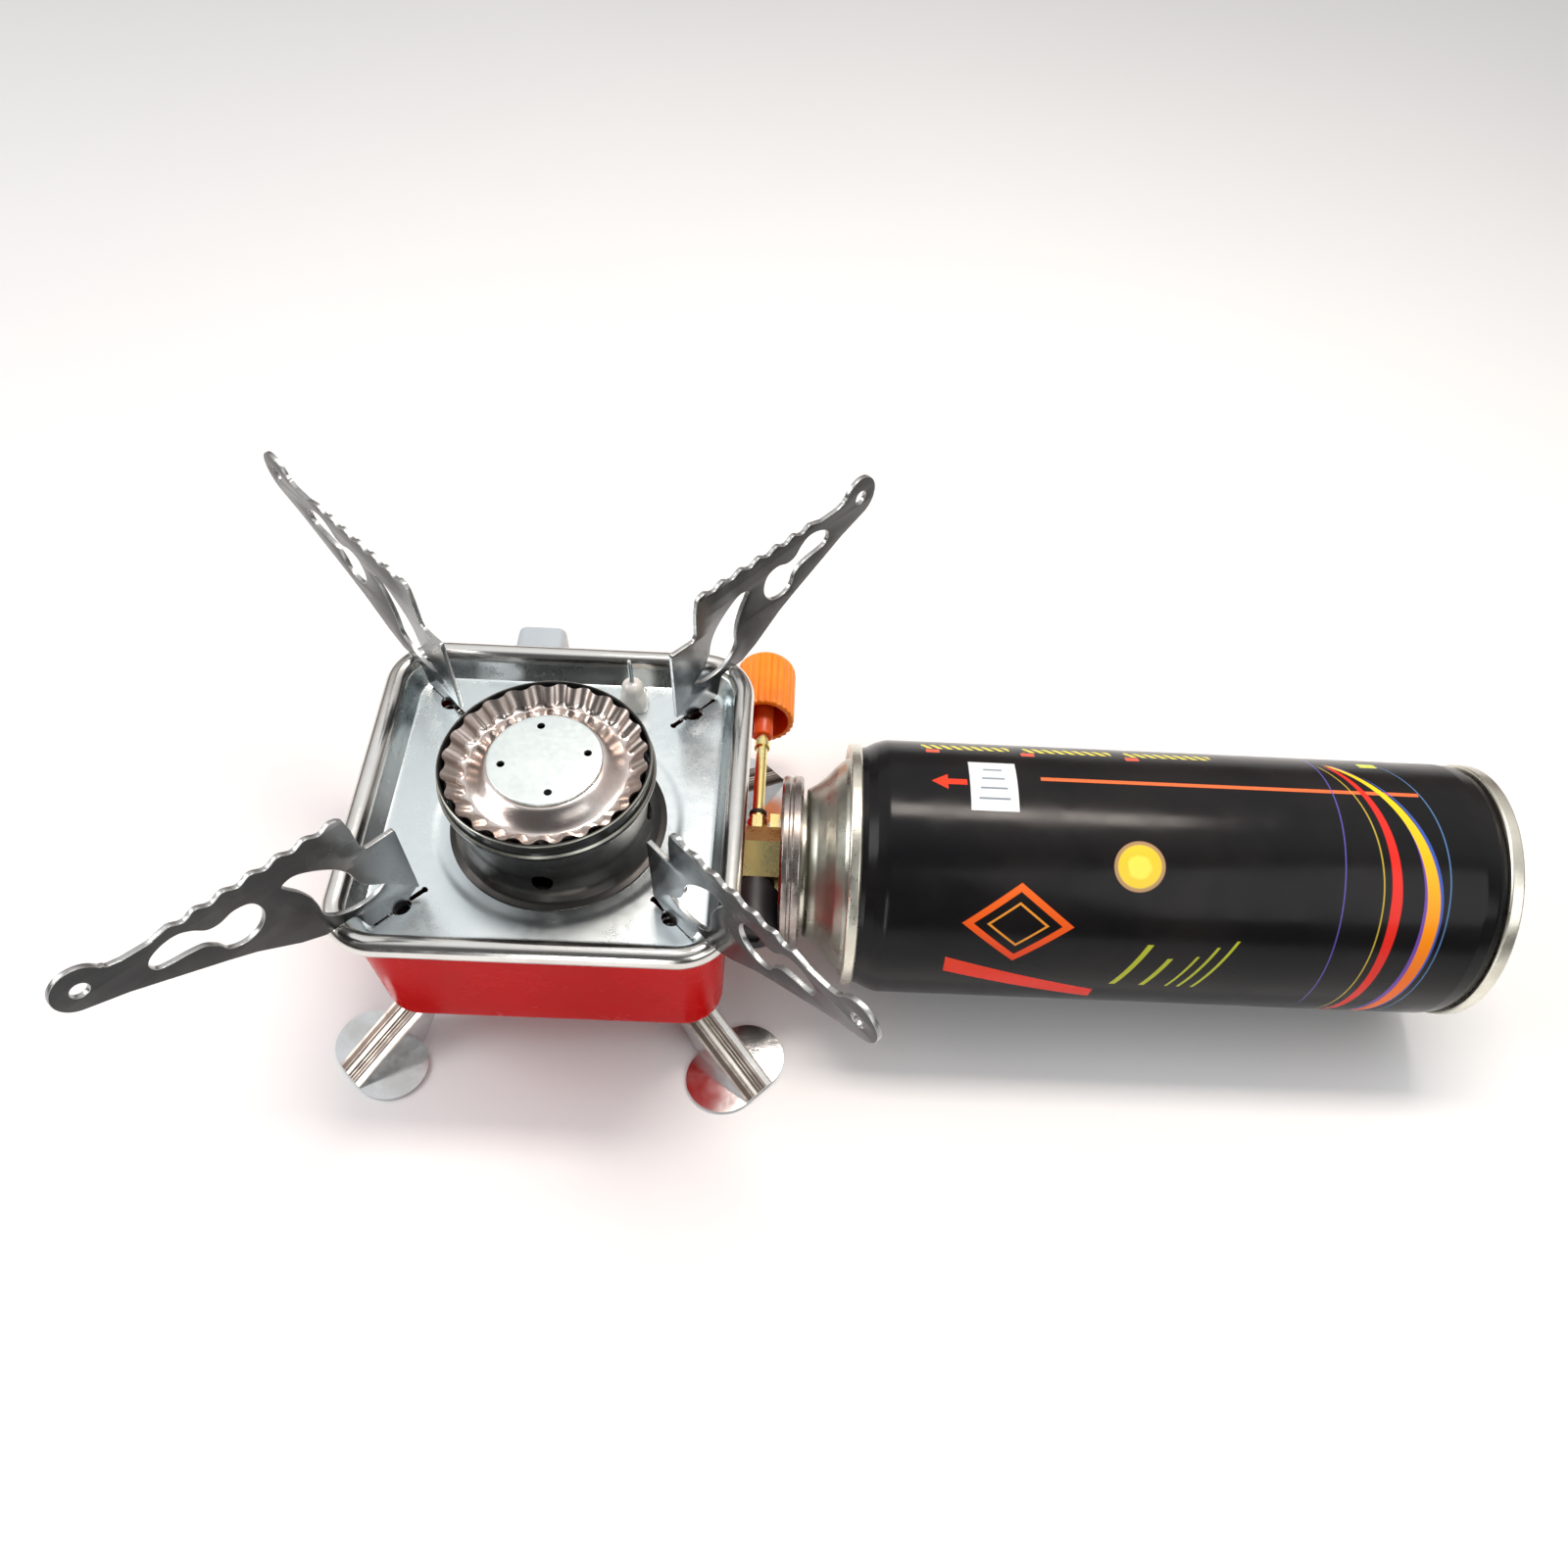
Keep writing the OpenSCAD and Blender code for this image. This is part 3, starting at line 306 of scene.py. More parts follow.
    # swept stripes near the far end: each a curved line, thick in the middle
    def stripe(x_mid, bow, s_mid, w, col, thin=0.0, fade=34.0):
        nonlocal base
        u = n.math("DIVIDE", n.math("SUBTRACT", s, s_mid), 30.0)
        u = n.math("MAXIMUM", u, n.math("MULTIPLY", u, -0.6))
        line = n.math("SUBTRACT", x_mid, n.math("MULTIPLY", n.math("MULTIPLY", u, u), bow))
        d = n.math("ABSOLUTE", n.math("SUBTRACT", x, line))
        width = n.math("MAXIMUM", n.math("SUBTRACT", w, n.math("MULTIPLY", n.math("ABSOLUTE", u), thin)), 0.12)
        m = n.math("MULTIPLY", n.span(n.math("SUBTRACT", d, width), -0.15, 0.15, 1.0, 0.0), band(s, s_mid - fade, s_mid + fade, 1.5))
        base = n.mix(m, base, col if isinstance(col, bpy.types.NodeSocket) else rgba(*col))

    warm = n.mix(n.span(s, 0.0, 60.0, 0.0, 1.0), rgba(0.90, 0.16, 0.01), rgba(0.95, 0.62, 0.02))
    stripe(193.0, 1.0, 36.0, 0.14, (0.12, 0.10, 0.42), fade=42.0)
    stripe(216.5, 8.6, 25.0, 0.8, (0.05, 0.10, 0.42), thin=0.5, fade=38.0)
    stripe(213.2, 7.6, 26.0, 0.7, (0.16, 0.07, 0.38), thin=0.3, fade=44.0)
    stripe(205.8, 5.4, 27.0, 1.35, (0.75, 0.03, 0.02), thin=0.6, fade=42.0)
    stripe(202.6, 5.0, 27.0, 0.16, (0.55, 0.40, 0.05), fade=42.0)
    stripe(215.0, 8.2, 24.0, 1.7, warm, thin=0.7, fade=46.0)
    stripe(218.6, 5.0, 30.0, 0.14, (0.10, 0.22, 0.45), fade=42.0)
    over(rect(204.0, 208.5, 70.0, 73.0), (0.62, 0.66, 0.03))
    # plain slanted marks near the front, in place of print
    for xm, ln, w in ((148.0, 15.0, 1.5), (155.5, 11.0, 1.3), (162.0, 12.0, 0.7), (165.0, 15.0, 0.8), (168.5, 17.0, 0.8)):
        slant = n.math("SUBTRACT", x, n.math("MULTIPLY", s, 0.45))
        over(n.math("MULTIPLY", band(slant, xm - 7.0, xm - 7.0 + w), band(s, 0.5, ln)), (0.45, 0.48, 0.03))
    n.set(Base_Color=base, Roughness=n.span(n.noise(70.0, 5.0, 0.6), 0.35, 0.7, 0.16, 0.26), Specular_IOR_Level=0.16)
    n.bump(n.noise(260.0, 2.0, 0.4), 0.08, 0.00012)
    n.bump(n.noise(16.0, 1.0, 0.4, n.scaled(0.35, 1.0, 1.0)), 0.25, 0.0012)
    return n.mat


CAN_PRINT = cartridge_paint()


# ------------------------------------------------------------------ meshes
def finish_mesh(name, verts, faces, mats, body, angle=40, flip_check=True):
    me = bpy.data.meshes.new(name)
    me.from_pydata([(v[0] * MM, v[1] * MM, v[2] * MM) for v in verts], [], faces)
    me.update()
    bm = bmesh.new()
    bm.from_mesh(me)
    if flip_check:
        bmesh.ops.recalc_face_normals(bm, faces=bm.faces)
    bm.to_mesh(me)
    bm.free()
    for p in me.polygons:
        p.use_smooth = True
    me.set_sharp_from_angle(angle=math.radians(angle))
    for m in (mats if isinstance(mats, (list, tuple)) else [mats]):
        me.materials.append(m)
    o = bpy.data.objects.new(name, me)
    bpy.context.scene.collection.objects.link(o)
    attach(o, body)
    return o


def rounded(pts, seg=6):
    """Closed outline from (a, b, radius) corners, each corner rounded with its own radius."""
    out = []
    n = len(pts)
    for i in range(n):
        p0, p1, p2 = pts[i - 1], pts[i], pts[(i + 1) % n]
        r = p1[2] if len(p1) > 2 else 0.0
        a = Vector((p0[0] - p1[0], p0[1] - p1[1]))
        b = Vector((p2[0] - p1[0], p2[1] - p1[1]))
        if r <= 0 or a.length < 1e-6 or b.length < 1e-6:
            out.append((p1[0], p1[1]))
            continue
        ang = a.angle(b)
        if ang < 1e-3 or abs(math.pi - ang) < 1e-2:
            out.append((p1[0], p1[1]))
            continue
        d = min(r / math.tan(ang / 2), 0.48 * a.length, 0.48 * b.length)
        rr = d * math.tan(ang / 2)
        a.normalize()
        b.normalize()
        c = Vector((p1[0], p1[1])) + (a + b).normalized() * (rr / math.sin(ang / 2))
        s = Vector((p1[0], p1[1])) + a * d - c
        e = Vector((p1[0], p1[1])) + b * d - c
        t0 = math.atan2(s.y, s.x)
        dt = (math.atan2(e.y, e.x) - t0 + math.pi) % (2 * math.pi) - math.pi
        for k in range(seg + 1):
            t = t0 + dt * k / seg
            out.append((c.x + rr * math.cos(t), c.y + rr * math.sin(t)))
    return out


def lathe(name, prof, mats, body, axis="z", centre=(0, 0), n=160, angle=40, pick=None, wobble=None, closed=True):
    """Turns a profile of (radius, height) points; pick(radius, height) gives a face's material."""
    def put(r, h, t):
        if wobble:
            r, h = wobble(r, h, t)
        c, s = r * math.cos(t), r * math.sin(t)
        if axis == "z":
            return (centre[0] + c, centre[1] + s, h)
        if axis == "x":
            return (h, centre[0] + c, centre[1] + s)
        return (centre[0] + c, h, centre[1] + s)
    verts, faces, rows, fmat = [], [], [], []
    for r, h in prof:
        if r < 1e-6:
            rows.append([len(verts)] * n)
            verts.append(put(0.0, h, 0.0))
        else:
            rows.append(list(range(len(verts), len(verts) + n)))
            verts.extend(put(r, h, 2 * math.pi * k / n) for k in range(n))
    m = len(prof)
    for i in range(m if closed else m - 1):
        a, b = rows[i], rows[(i + 1) % m]
        if a[0] == a[1] and b[0] == b[1]:
            continue
        mr, mh = (prof[i][0] + prof[(i + 1) % m][0]) / 2, (prof[i][1] + prof[(i + 1) % m][1]) / 2
        for k in range(n):
            q = [a[k], a[(k + 1) % n], b[(k + 1) % n], b[k]]
            f = [v for j, v in enumerate(q) if v not in q[:j]]
            faces.append(f)
            fmat.append(pick(mr, mh) if pick else 0)
    o = finish_mesh(name, verts, faces, mats, body, angle)
    if pick:
        for p, i in zip(o.data.polygons, fmat):
            p.material_index = i
    return o


def square_ring(half, corner_r, z, per_side=36, per_corner=20):
    """Points of a rounded square, the same count and order for every size."""
    out = []
    hc = half - corner_r
    for q in range(4):
        a0 = q * math.pi / 2
        ca, sa = math.cos(a0), math.sin(a0)
        pts = [(half, -hc + 2 * hc * k / per_side) for k in range(per_side)]
        pts += [(hc + corner_r * math.cos(t), hc + corner_r * math.sin(t)) for t in (math.pi / 2 * k / per_corner for k in range(per_corner))]
        out += [(x * ca - y * sa, x * sa + y * ca, z) for x, y in pts]
    return out


def loft(name, rings, mats, body, angle=40, close=True, cap=False, pick=None):
    m = len(rings[0])
    verts = [v for r in rings for v in r]
    faces, fmat = [], []
    k = len(rings)
    for i in range(k if close else k - 1):
        a, b = i * m, ((i + 1) % k) * m
        for j in range(m):
            faces.append((a + j, a + (j + 1) % m, b + (j + 1) % m, b + j))
            fmat.append(pick(i) if pick else 0)
    if cap:
        faces.append(tuple(range(m)))
        faces.append(tuple((k - 1) * m + j for j in range(m)))
        fmat += [0, 0]
    o = finish_mesh(name, verts, faces, mats, body, angle)
    if pick:
        for p, i in zip(o.data.polygons, fmat):
            p.material_index = i
    return o


def cut(obj, cutters, angle=40):
    """Cuts closed shapes out of obj and tidies its shading."""
    bpy.context.view_layer.update()
    for c in cutters:
        md = obj.modifiers.new("cut", "BOOLEAN")
        md.operation = "DIFFERENCE"
        md.solver = "EXACT"
        md.object = c
    dg = bpy.context.evaluated_depsgraph_get()
    me = bpy.data.meshes.new_from_object(obj.evaluated_get(dg))
    obj.modifiers.clear()
    obj.data = me
    for p in me.polygons:
        p.use_smooth = True
    me.set_sharp_from_angle(angle=math.radians(angle))
    for c in cutters:
        bpy.data.objects.remove(c, do_unlink=True)


def tool_cyl(p, r, h, direction=(0, 0, 1), n=48):
    bm = bmesh.new()
    bmesh.ops.create_cone(bm, cap_ends=True, segments=n, radius1=r * MM, radius2=r * MM, depth=h * MM)
    me = bpy.data.meshes.new("tool")
    bm.to_mesh(me)
    bm.free()
    o = bpy.data.objects.new("tool", me)
    bpy.context.scene.collection.objects.link(o)
    q = Vector((0, 0, 1)).rotation_difference(Vector(direction))
    o.matrix_world = Matrix.Translation(Vector(p) * MM) @ q.to_matrix().to_4x4()
    return o


def tool_prism(outline, origin, heading, h):
    """Upright prism over a flat outline, turned about Z."""
    bm = bmesh.new()
    c, s = math.cos(heading), math.sin(heading)
    lo = [bm.verts.new(((origin[0] + x * c - y * s) * MM, (origin[1] + x * s + y * c) * MM, (origin[2] - h / 2) * MM)) for x, y in outline]
    hi = [bm.verts.new((v.co.x, v.co.y, (origin[2] + h / 2) * MM)) for v in lo]
    bm.faces.new(lo[::-1])
    bm.faces.new(hi)
    k = len(lo)
    for i in range(k):
        bm.faces.new((lo[i], lo[(i + 1) % k], hi[(i + 1) % k], hi[i]))
    bmesh.ops.recalc_face_normals(bm, faces=bm.faces)
    me = bpy.data.meshes.new("tool")
    bm.to_mesh(me)
    bm.free()
    o = bpy.data.objects.new("tool", me)
    bpy.context.scene.collection.objects.link(o)
    return o


def soften(obj, width, seg=3, angle=32):
    md = obj.modifiers.new("edge", "BEVEL")
    md.width = width * MM
    md.segments = seg
    md.limit_method = "ANGLE"
    md.angle_limit = math.radians(angle)
    md.harden_normals = True
    md.use_clamp_overlap = True


def paint(node, mat, bevel=0.0, seg=2):
    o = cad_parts[node]
    o.data.materials.clear()
    o.data.materials.append(mat)
    if bevel:
        soften(o, bevel, seg)
    return o


# ------------------------------------------------------------------ tray
def build_tray():
    t = 0.7
    HC = 34.3

    def sq(x, z):
        return square_ring(HC + x, x, z) if x > 0.2 else square_ring(HC + 0.2, 0.2, z)
    base = square_ring(30, 10, 0)
    dirs = [math.atan2(y - BY, x - BX) for x, y, _ in base]

    def circle(r, z):
        return [(BX + r * math.cos(a), BY + r * math.sin(a), z) for a in dirs]

    def between(ra, rb, u, z):
        return [(a[0] * (1 - u) + b[0] * u, a[1] * (1 - u) + b[1] * u, z) for a, b in zip(ra, rb)]
    F = FLOOR_Z
    edge = sq(5.6, F)
    c312 = circle(31.2, F)
    D = 0.34
    top = [circle(12.5, F - D), circle(24, F - D), circle(28.6, F - D), circle(29.2, F - D + 0.015), circle(29.7, F - D + 0.06), circle(30.2, F - D + 0.15), circle(30.7, F - 0.10), circle(31.2, F - 0.03), circle(31.8, F)]
    c318 = top[-1]
    top += [between(c318, edge, u, F) for u in (0.2, 0.4, 0.6, 0.8, 0.93)]
    # floor turns up into the wall through a small radius
    top += [sq(5.6, F), sq(6.3, F + 0.06), sq(6.9, F + 0.28), sq(7.35, F + 0.7), sq(7.65, F + 1.2), sq(8.1, F + 2.1), sq(8.6, F + 3.1), sq(8.82, F + 3.7)]
    # rolled bead
    br = 2.75
    bc = 14.4 - br
    bead = []
    for k in range(27):
        a = math.radians(188 - k * 11.6)
        bead.append(sq(bc + br * math.cos(a), BEAD_Z + br * math.sin(a)))
    inner = []
    for k in range(0, 26, 2):
        a = math.radians(188 - 26 * 11.6 + k * 11.6)
        inner.append(sq(bc + (br - 0.55) * math.cos(a), BEAD_Z + (br - 0.55) * math.sin(a)))
    under = [sq(8.05, F + 3.0), sq(7.3, F + 1.5), sq(6.6, F + 0.3), sq(6.0, F - 0.45), sq(5.4, F - t)]
    c_out = circle(31.6, F - t)
    under += [between(sq(5.4, F - t), c_out, u, F - t) for u in (0.3, 0.7)] + [c_out, circle(30.9, F - t - 0.3), circle(30.3, F - 2 * t), circle(24, F - 2 * t), circle(12.5, F - 2 * t)]
    nt = len(top)
    rings = top + bead + inner[:-1] + under
    nt = len(top)
    o = loft("tray_sheet", rings, [TIN, TIN_RIM], "stove", 50, pick=lambda i: 1 if nt - 3 <= i < nt + 26 else 0)
    tools = []
    for sx in (-1, 1):
        for sy in (-1, 1):
            h = math.atan2(sy, sx)
            p = (sx * PIVOT, sy * PIVOT, F - 0.4)
            tools.append(tool_cyl(p, 2.6, 3))
            w = 0.65
            out = [(w_, s_) for w_, s_ in ()]
            for d in (1, -1):
                tools.append(tool_prism([(d * 1.6, -w), (d * 6.3, -w), (d * 7.0, -0.95), (d * 7.5, -0.5), (d * 7.6, 0.0), (d * 7.5, 0.5), (d * 7.0, 0.95), (d * 6.3, w), (d * 1.6, w)], p, h, 3))
    tools.append(tool_cyl((ELEC[0], ELEC[1], F), 2.4, 4))
    cut(o, tools, 50)
    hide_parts("top_tray")
    return o


# ------------------------------------------------------------------ pan body
def build_pan():
    """Deep drawn pan with slightly full sides and a soft bottom edge."""
    HC = 33.7

    def ring(x, z, belly=0.0):
        pts = square_ring(HC + x, x, z)
        if belly:
            out = []
            for px, py, pz in pts:
                m = max(abs(px), abs(py))
                if m > HC + x - 1e-6:
                    lat = min(abs(px), abs(py)) / HC
                    g = 1 + belly * max(0.0, 1 - lat * lat) / (HC + x)
                    px, py = (px * g, py) if abs(px) >= abs(py) else (px, py * g)
                out.append((px, py, pz))
            return out
        return pts
    rings = []
    for k in range(12):
        u = k / 11
        z = 54.3 - u * 34.3
        rings.append(ring(11 - 1.0 * u, z, -0.22 * math.sin(math.pi * min(1, u * 1.05))))
    for k in range(1, 10):
        a = math.radians(10 * k)
        rings.append(ring(5 + 5 * math.cos(a), 20 - 5 * math.sin(a)))
    rings += [ring(4.0, 15.0), square_ring(28, 2.2, 15.25), square_ring(26.5, 2.0, 15.6), square_ring(8, 1.0, 15.6)]
    inn = [square_ring(8, 1.0, 16.2), square_ring(26.3, 1.9, 16.2), ring(4.2, 15.9)]
    for k in range(9, 0, -2):
        a = math.radians(10 * k)
        inn.append(ring(5 + 4.2 * math.cos(a), 20 - 4.2 * math.sin(a)))
    inn += [ring(9.2, 21), ring(9.7, 38), ring(10.2, 54.3)]
    o = loft("pan_shell", rings + inn, RED, "stove", 45)
    tools = [tool_cyl((45, AY, AZ), 5.0, 10, (1, 0, 0))]
    w, h = 14.3, 10.8
    out = rounded([(-w / 2, -h / 2, 2.3), (w / 2, -h / 2, 2.3), (w / 2, h / 2, 2.3), (-w / 2, h / 2, 2.3)], 6)
    win = tool_prism(out, (0, 0, 0), 0.0, 12)
    win.matrix_world = Matrix.Translation(Vector((BTN_X, 44.5, BTN_Z)) * MM) @ Matrix.Rotation(math.pi / 2, 4, "X")
    tools.append(win)
    for k in range(4):
        a = k * math.pi / 2
        tools.append(tool_cyl((15 * math.cos(a), 15 * math.sin(a), 15.6), 3.0, 5))
    for x in (-31, 31):
        for y in (-31, 31):
            tools.append(tool_cyl((x, y, 15.4), 2.4, 3))
    cut(o, tools, 45)
    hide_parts("body_shell")


# ------------------------------------------------------------------ burner
def build_burner():
    z = FLOOR_Z - 0.7
    prof = rounded([(8.2, z, 0), (26.3, z, 0.3), (26.95, z + 0.25, 0.3), (26.9, z + 0.75, 0.4), (25.2, z + 1.35, 1.8), (23.6, z + 3.3, 4), (22.85, z + 6.6, 9), (23.15, z + 12.5, 20), (23.95, z + 18.6, 1), (23.95, z + 20.6, 0.2),
                    (23.25, z + 20.6, 0), (22.5, z + 13, 4), (22.1, z + 7, 4), (23, z + 2.6, 2), (24.6, z + 0.8, 1), (8.2, z + 0.8, 0)], 8)
    cup = lathe("cup_wall", prof, CUP, "stove", centre=(BX, BY), n=192)
    tools = []
    for k in range(4):
        a = k * math.pi / 2
        tools.append(tool_cyl((BX + 24 * math.cos(a), BY + 24 * math.sin(a), z + 6.9), 2.6, 8, (math.cos(a), math.sin(a), 0)))
    for s in (-1, 1):
        tools.append(tool_cyl((BX + 19 * s, BY, z + 0.4), 1.6, 2.4))
    cut(cup, tools)
    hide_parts("burner_cup")

    # the up-facing top lip and shoulder band take the light tin finish: painted highlight lines on the black ring
    ring = lathe("ring_body", rounded([(24.0, 70.9, 0.1), (25.35, 70.9, 0.3), (25.7, 71.3, 0.3), (25.7, 72.25, 0.3), (25.2, 72.75, 0.15), (24.85, 73.2, 0.3), (24.8, 74.9, 0.3), (25.05, 75.25, 0.1), (25.02, 75.85, 0.25),
                                       (24.65, 76.1, 0.2), (24.35, 76.05, 0.2), (24.3, 75.6, 0.1), (24.3, 73.6, 0), (24.0, 73.2, 0)], 6),
                 [BLACK_GLOSS, DOME], "stove", centre=(BX, BY), n=192,
                 pick=lambda r, h: 1 if (h > 75.8 and r > 24.75) or (72.3 < h < 72.6 and r > 25.2) else 0)
    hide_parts("burner_ring")

    # fluted insert: flat landing, smooth valley, then a folded wall up to the ring
    prof = [(11.5, 75.6), (13.3, 75.6), (13.8, 75.55), (14.3, 75.35), (14.9, 74.95), (15.6, 74.45), (16.4, 73.85), (17.2, 73.28), (18.0, 72.78), (18.6, 72.48), (19.05, 72.32), (19.4, 72.33), (19.7, 72.5), (20.0, 72.8),
            (20.4, 73.2), (21.0, 73.75), (21.7, 74.35), (22.4, 74.95), (23.0, 75.45), (23.5, 75.85)]
    low = [(r + (0.18 if r > 19 else 0.0), h - 0.45) for r, h in reversed(prof)]
    nf = 24

    def wob(r, h, t):
        g = max(0.0, min(1.0, (r - 19.0) / 1.3))
        g = g * g * (3 - 2 * g)
        c = math.cos(nf * (t - math.radians(13.6)))
        c = math.copysign(abs(c) ** 0.7, c)
        return r + 0.60 * g * c, h - 0.10 * g * c
    ins = lathe("insert_sheet", prof + low, [INSERT, INSERT_WALL], "stove", centre=(BX, BY), n=nf * 20, angle=60, wobble=wob,
                pick=lambda r, h: 1 if r > 20.3 else 0)
    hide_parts("flame_insert")

    disc = lathe("disc_plate", [(0, 75.7)] + [(13.2, 75.7)] + [(13.2 + 0.4 * math.sin(a), 76.1 - 0.4 * math.cos(a)) for a in (math.radians(15 * k) for k in range(1, 12))] + [(13.1, 76.5), (12.6, 76.5), (6, 76.5), (0, 76.5)],
                 DISC, "stove", centre=(BX, BY), n=160, closed=False)
    tools = []
    for k in range(4):
        a = math.radians(12.5 + 90 * k)
        tools.append(tool_cyl((BX + 10.1 * math.cos(a), BY + 10.1 * math.sin(a), 76.3), 0.95, 3, n=32))
    cut(disc, tools)
    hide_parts("burner_disc")


# ------------------------------------------------------------------ pot arms
def spline(pts, sharp=(), step=6):
    """Closed smooth line through points; the listed ones stay sharp."""
    out = []
    n = len(pts)
    for i in range(n):
        p0, p1, p2, p3 = pts[i - 1], pts[i], pts[(i + 1) % n], pts[(i + 2) % n]
        if i in sharp:
            p0 = p1
        if (i + 1) % n in sharp:
            p3 = p2
        for k in range(step):
            t = k / step
            out.append(tuple(0.5 * ((2 * b) + (c - a) * t + (2 * a - 5 * b + 4 * c - d) * t * t + (3 * b - a - 3 * c + d) * t ** 3) for a, b, c, d in zip(p0, p1, p2, p3)))
    return out


def arm_outline():
    top = 91.0
    low = [(-6, 53, 0.4), (8.2, 53, 0.5), (8.7, 54, 0.5), (10, 59.2, 0.5), (10.9, 59.95, 1), (17.6, 59.95, 2), (23, 62.7, 3), (31.5, 68.8, 4), (37.5, 71.9, 5), (46.5, 76.2, 6), (56, 80.75, 8)]
    pts = rounded([(-1.8, 53.0, 0.3), (-1.8, 37, 0.4), (1.8, 37, 0.4), (1.8, 53.0, 0.3)] + low[1:], 5)
    pts += [(62.2 + 5.9 * math.cos(math.radians(a)), 89.3 + 5.9 * math.sin(math.radians(a))) for a in range(-70, 156, 5)]
    pts += rounded([(56.4, 91.4, 0.4), (55.6, 90.75, 1), (53.2, 90.1, 1.5), (48, 89.85, 1.5), (45.4, 89.9, 1)], 4)[1:-1]
    w0 = 6.2
    for k in range(6 * 16, -1, -1):
        pts.append((5.6 + w0 * k / 16, top - 0.62 + 0.62 * math.cos(math.radians(22.5 * k))))
    pts += rounded([(5.0, 90.9, 0), (4.2, 90.6, 0.5), (3.2, 89.6, 1.0), (2.6, 86, 1.5), (2.5, 83, 1.5), (2.35, 79.2, 0.6), (1.6, 78.1, 0.8), (0.6, 77.92, 0.5), (-5.6, 78.0, 0.5), (-6, 77.3, 0.3), (-6, 53, 0.4)], 5)[1:]
    bone = spline([(50, 84.3), (48.6, 86.2), (45.4, 87.5), (42.2, 87.6), (39.6, 86.2), (37.2, 83.9), (34.4, 83.4), (30.6, 84.4), (27.2, 83.4), (25.9, 80.2), (26.6, 77), (29.2, 74.4), (32.6, 73.8), (35.6, 75), (36.9, 77.6), (39.2, 79.9), (43, 80.8), (46.6, 81.2), (49.2, 82)], (), 5)
    leaf = spline([(20.3, 82.6), (17.2, 83.3), (12.9, 80.9), (9.2, 77.5), (7.2, 74), (6.2, 69.8), (4.2, 66.4), (0.9, 63.7), (4.3, 62.0), (9.6, 62.1), (13.6, 64), (15.7, 66.8), (15.8, 70.5), (16.3, 74), (17.8, 77.8), (19.6, 80.8)], (7,), 5)
    eye = [(62.4 + 1.9 * math.cos(math.radians(a)), 89.2 + 1.9 * math.sin(math.radians(a))) for a in range(0, 360, 12)]
    return [[(a if a <= 31.5 else 31.5 + (a - 31.5) * 0.958, b) for a, b in lp] for lp in (pts, bone, leaf, eye)]


def build_arms():
    loops = arm_outline()
    for key, (sx, sy, head) in CORNERS.items():
        cu = bpy.data.curves.new("arm", "CURVE")
        cu.dimensions = "2D"
        cu.fill_mode = "BOTH"
        cu.extrude = 0.46 * MM
        cu.bevel_depth = 0.14 * MM
        cu.offset = -0.14 * MM
        cu.bevel_resolution = 2
        for lp in loops:
            sp = cu.splines.new("POLY")
            sp.points.add(len(lp) - 1)
            for q, (a, b) in zip(sp.points, lp):
                q.co = (a * MM, b * MM, 0, 1)
            sp.use_cyclic_u = True
        o = bpy.data.objects.new("tmp", cu)
        bpy.context.scene.collection.objects.link(o)
        h = math.radians(head)
        # plate plane: along the heading and up
        m = Matrix(((math.cos(h), 0, math.sin(h), sx * PIVOT * MM), (math.sin(h), 0, -math.cos(h), sy * PIVOT * MM), (0, 1, 0, 0), (0, 0, 0, 1)))
        o.matrix_world = m
        bpy.context.view_layer.update()
        dg = bpy.context.evaluated_depsgraph_get()
        me = bpy.data.meshes.new_from_object(o.evaluated_get(dg))
        me.transform(m)
        bpy.data.objects.remove(o, do_unlink=True)
        bm = bmesh.new()
        bm.from_mesh(me)
        bmesh.ops.remove_doubles(bm, verts=bm.verts, dist=1e-6)
        bmesh.ops.dissolve_degenerate(bm, edges=bm.edges, dist=1e-6)
        bmesh.ops.recalc_face_normals(bm, faces=bm.faces)
        bm.to_mesh(me)
        bm.free()
        # flat faces take the arm material with its painted reflection tones; cut edges take the plain edge steel
        me.materials.clear()
        me.materials.append(ARM_PAINTED_REFLECTION)
        me.materials.append(ARM_EDGE)
        side = Vector((math.sin(h), -math.cos(h), 0))
        for p in me.polygons:
            p.use_smooth = True
            p.material_index = 0 if abs(p.normal.dot(side)) > 0.995 else 1
        me.set_sharp_from_angle(angle=math.radians(28))
        arm = bpy.data.objects.new("arm_plate_" + key, me)
        bpy.context.scene.collection.objects.link(arm)
        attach(arm, "arm_" + key)
        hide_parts("pot_arm_" + key)


def tube(name, pts, r, mat, body, n=10):
    verts, faces = [], []
    m = len(pts)
    up = Vector((0, 0, 1))
    for i, p in enumerate(pts):
        t = (Vector(pts[min(i + 1, m - 1)]) - Vector(pts[max(i - 1, 0)])).normalized()
        u = t.cross(up if abs(t.z) < 0.95 else Vector((1, 0, 0))).normalized()
        v = t.cross(u)
        for j in range(n):
            a = 2 * math.pi * j / n
            q = Vector(p) + r * (math.cos(a) * u + math.sin(a) * v)
            verts.append(tuple(q))
    for i in range(m - 1):
        for j in range(n):
            k = (j + 1) % n
            faces.append((i * n + j, (i + 1) * n + j, (i + 1) * n + k, i * n + k))
    faces.append(tuple(range(n)))
    faces.append(tuple((m - 1) * n + j for j in range(n)))
    return finish_mesh(name, verts, faces, mat, body, 50)


def build_springs():
    z0, z1, turns = 40.0, 51.45, 5
    made = []
    for sx in (-1, 1):
        for sy in (-1, 1):
            pts = []
            n = turns * 28
            for i in range(n + 1):
                u = i / n
                s = max(0.0, min(1.0, (u - 0.1) / 0.8))
                a = 2 * math.pi * turns * u
                pts.append((sx * PIVOT + 3.1 * math.cos(a), sy * PIVOT + 3.1 * math.sin(a), z0 + (z1 - z0) * (0.06 * u + 0.94 * s)))
            made.append(tube("spring_%d_%d" % (sx + 1, sy + 1), pts, 0.33, HARDWARE, "stove"))
    for o in made:
        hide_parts("arm_springs")


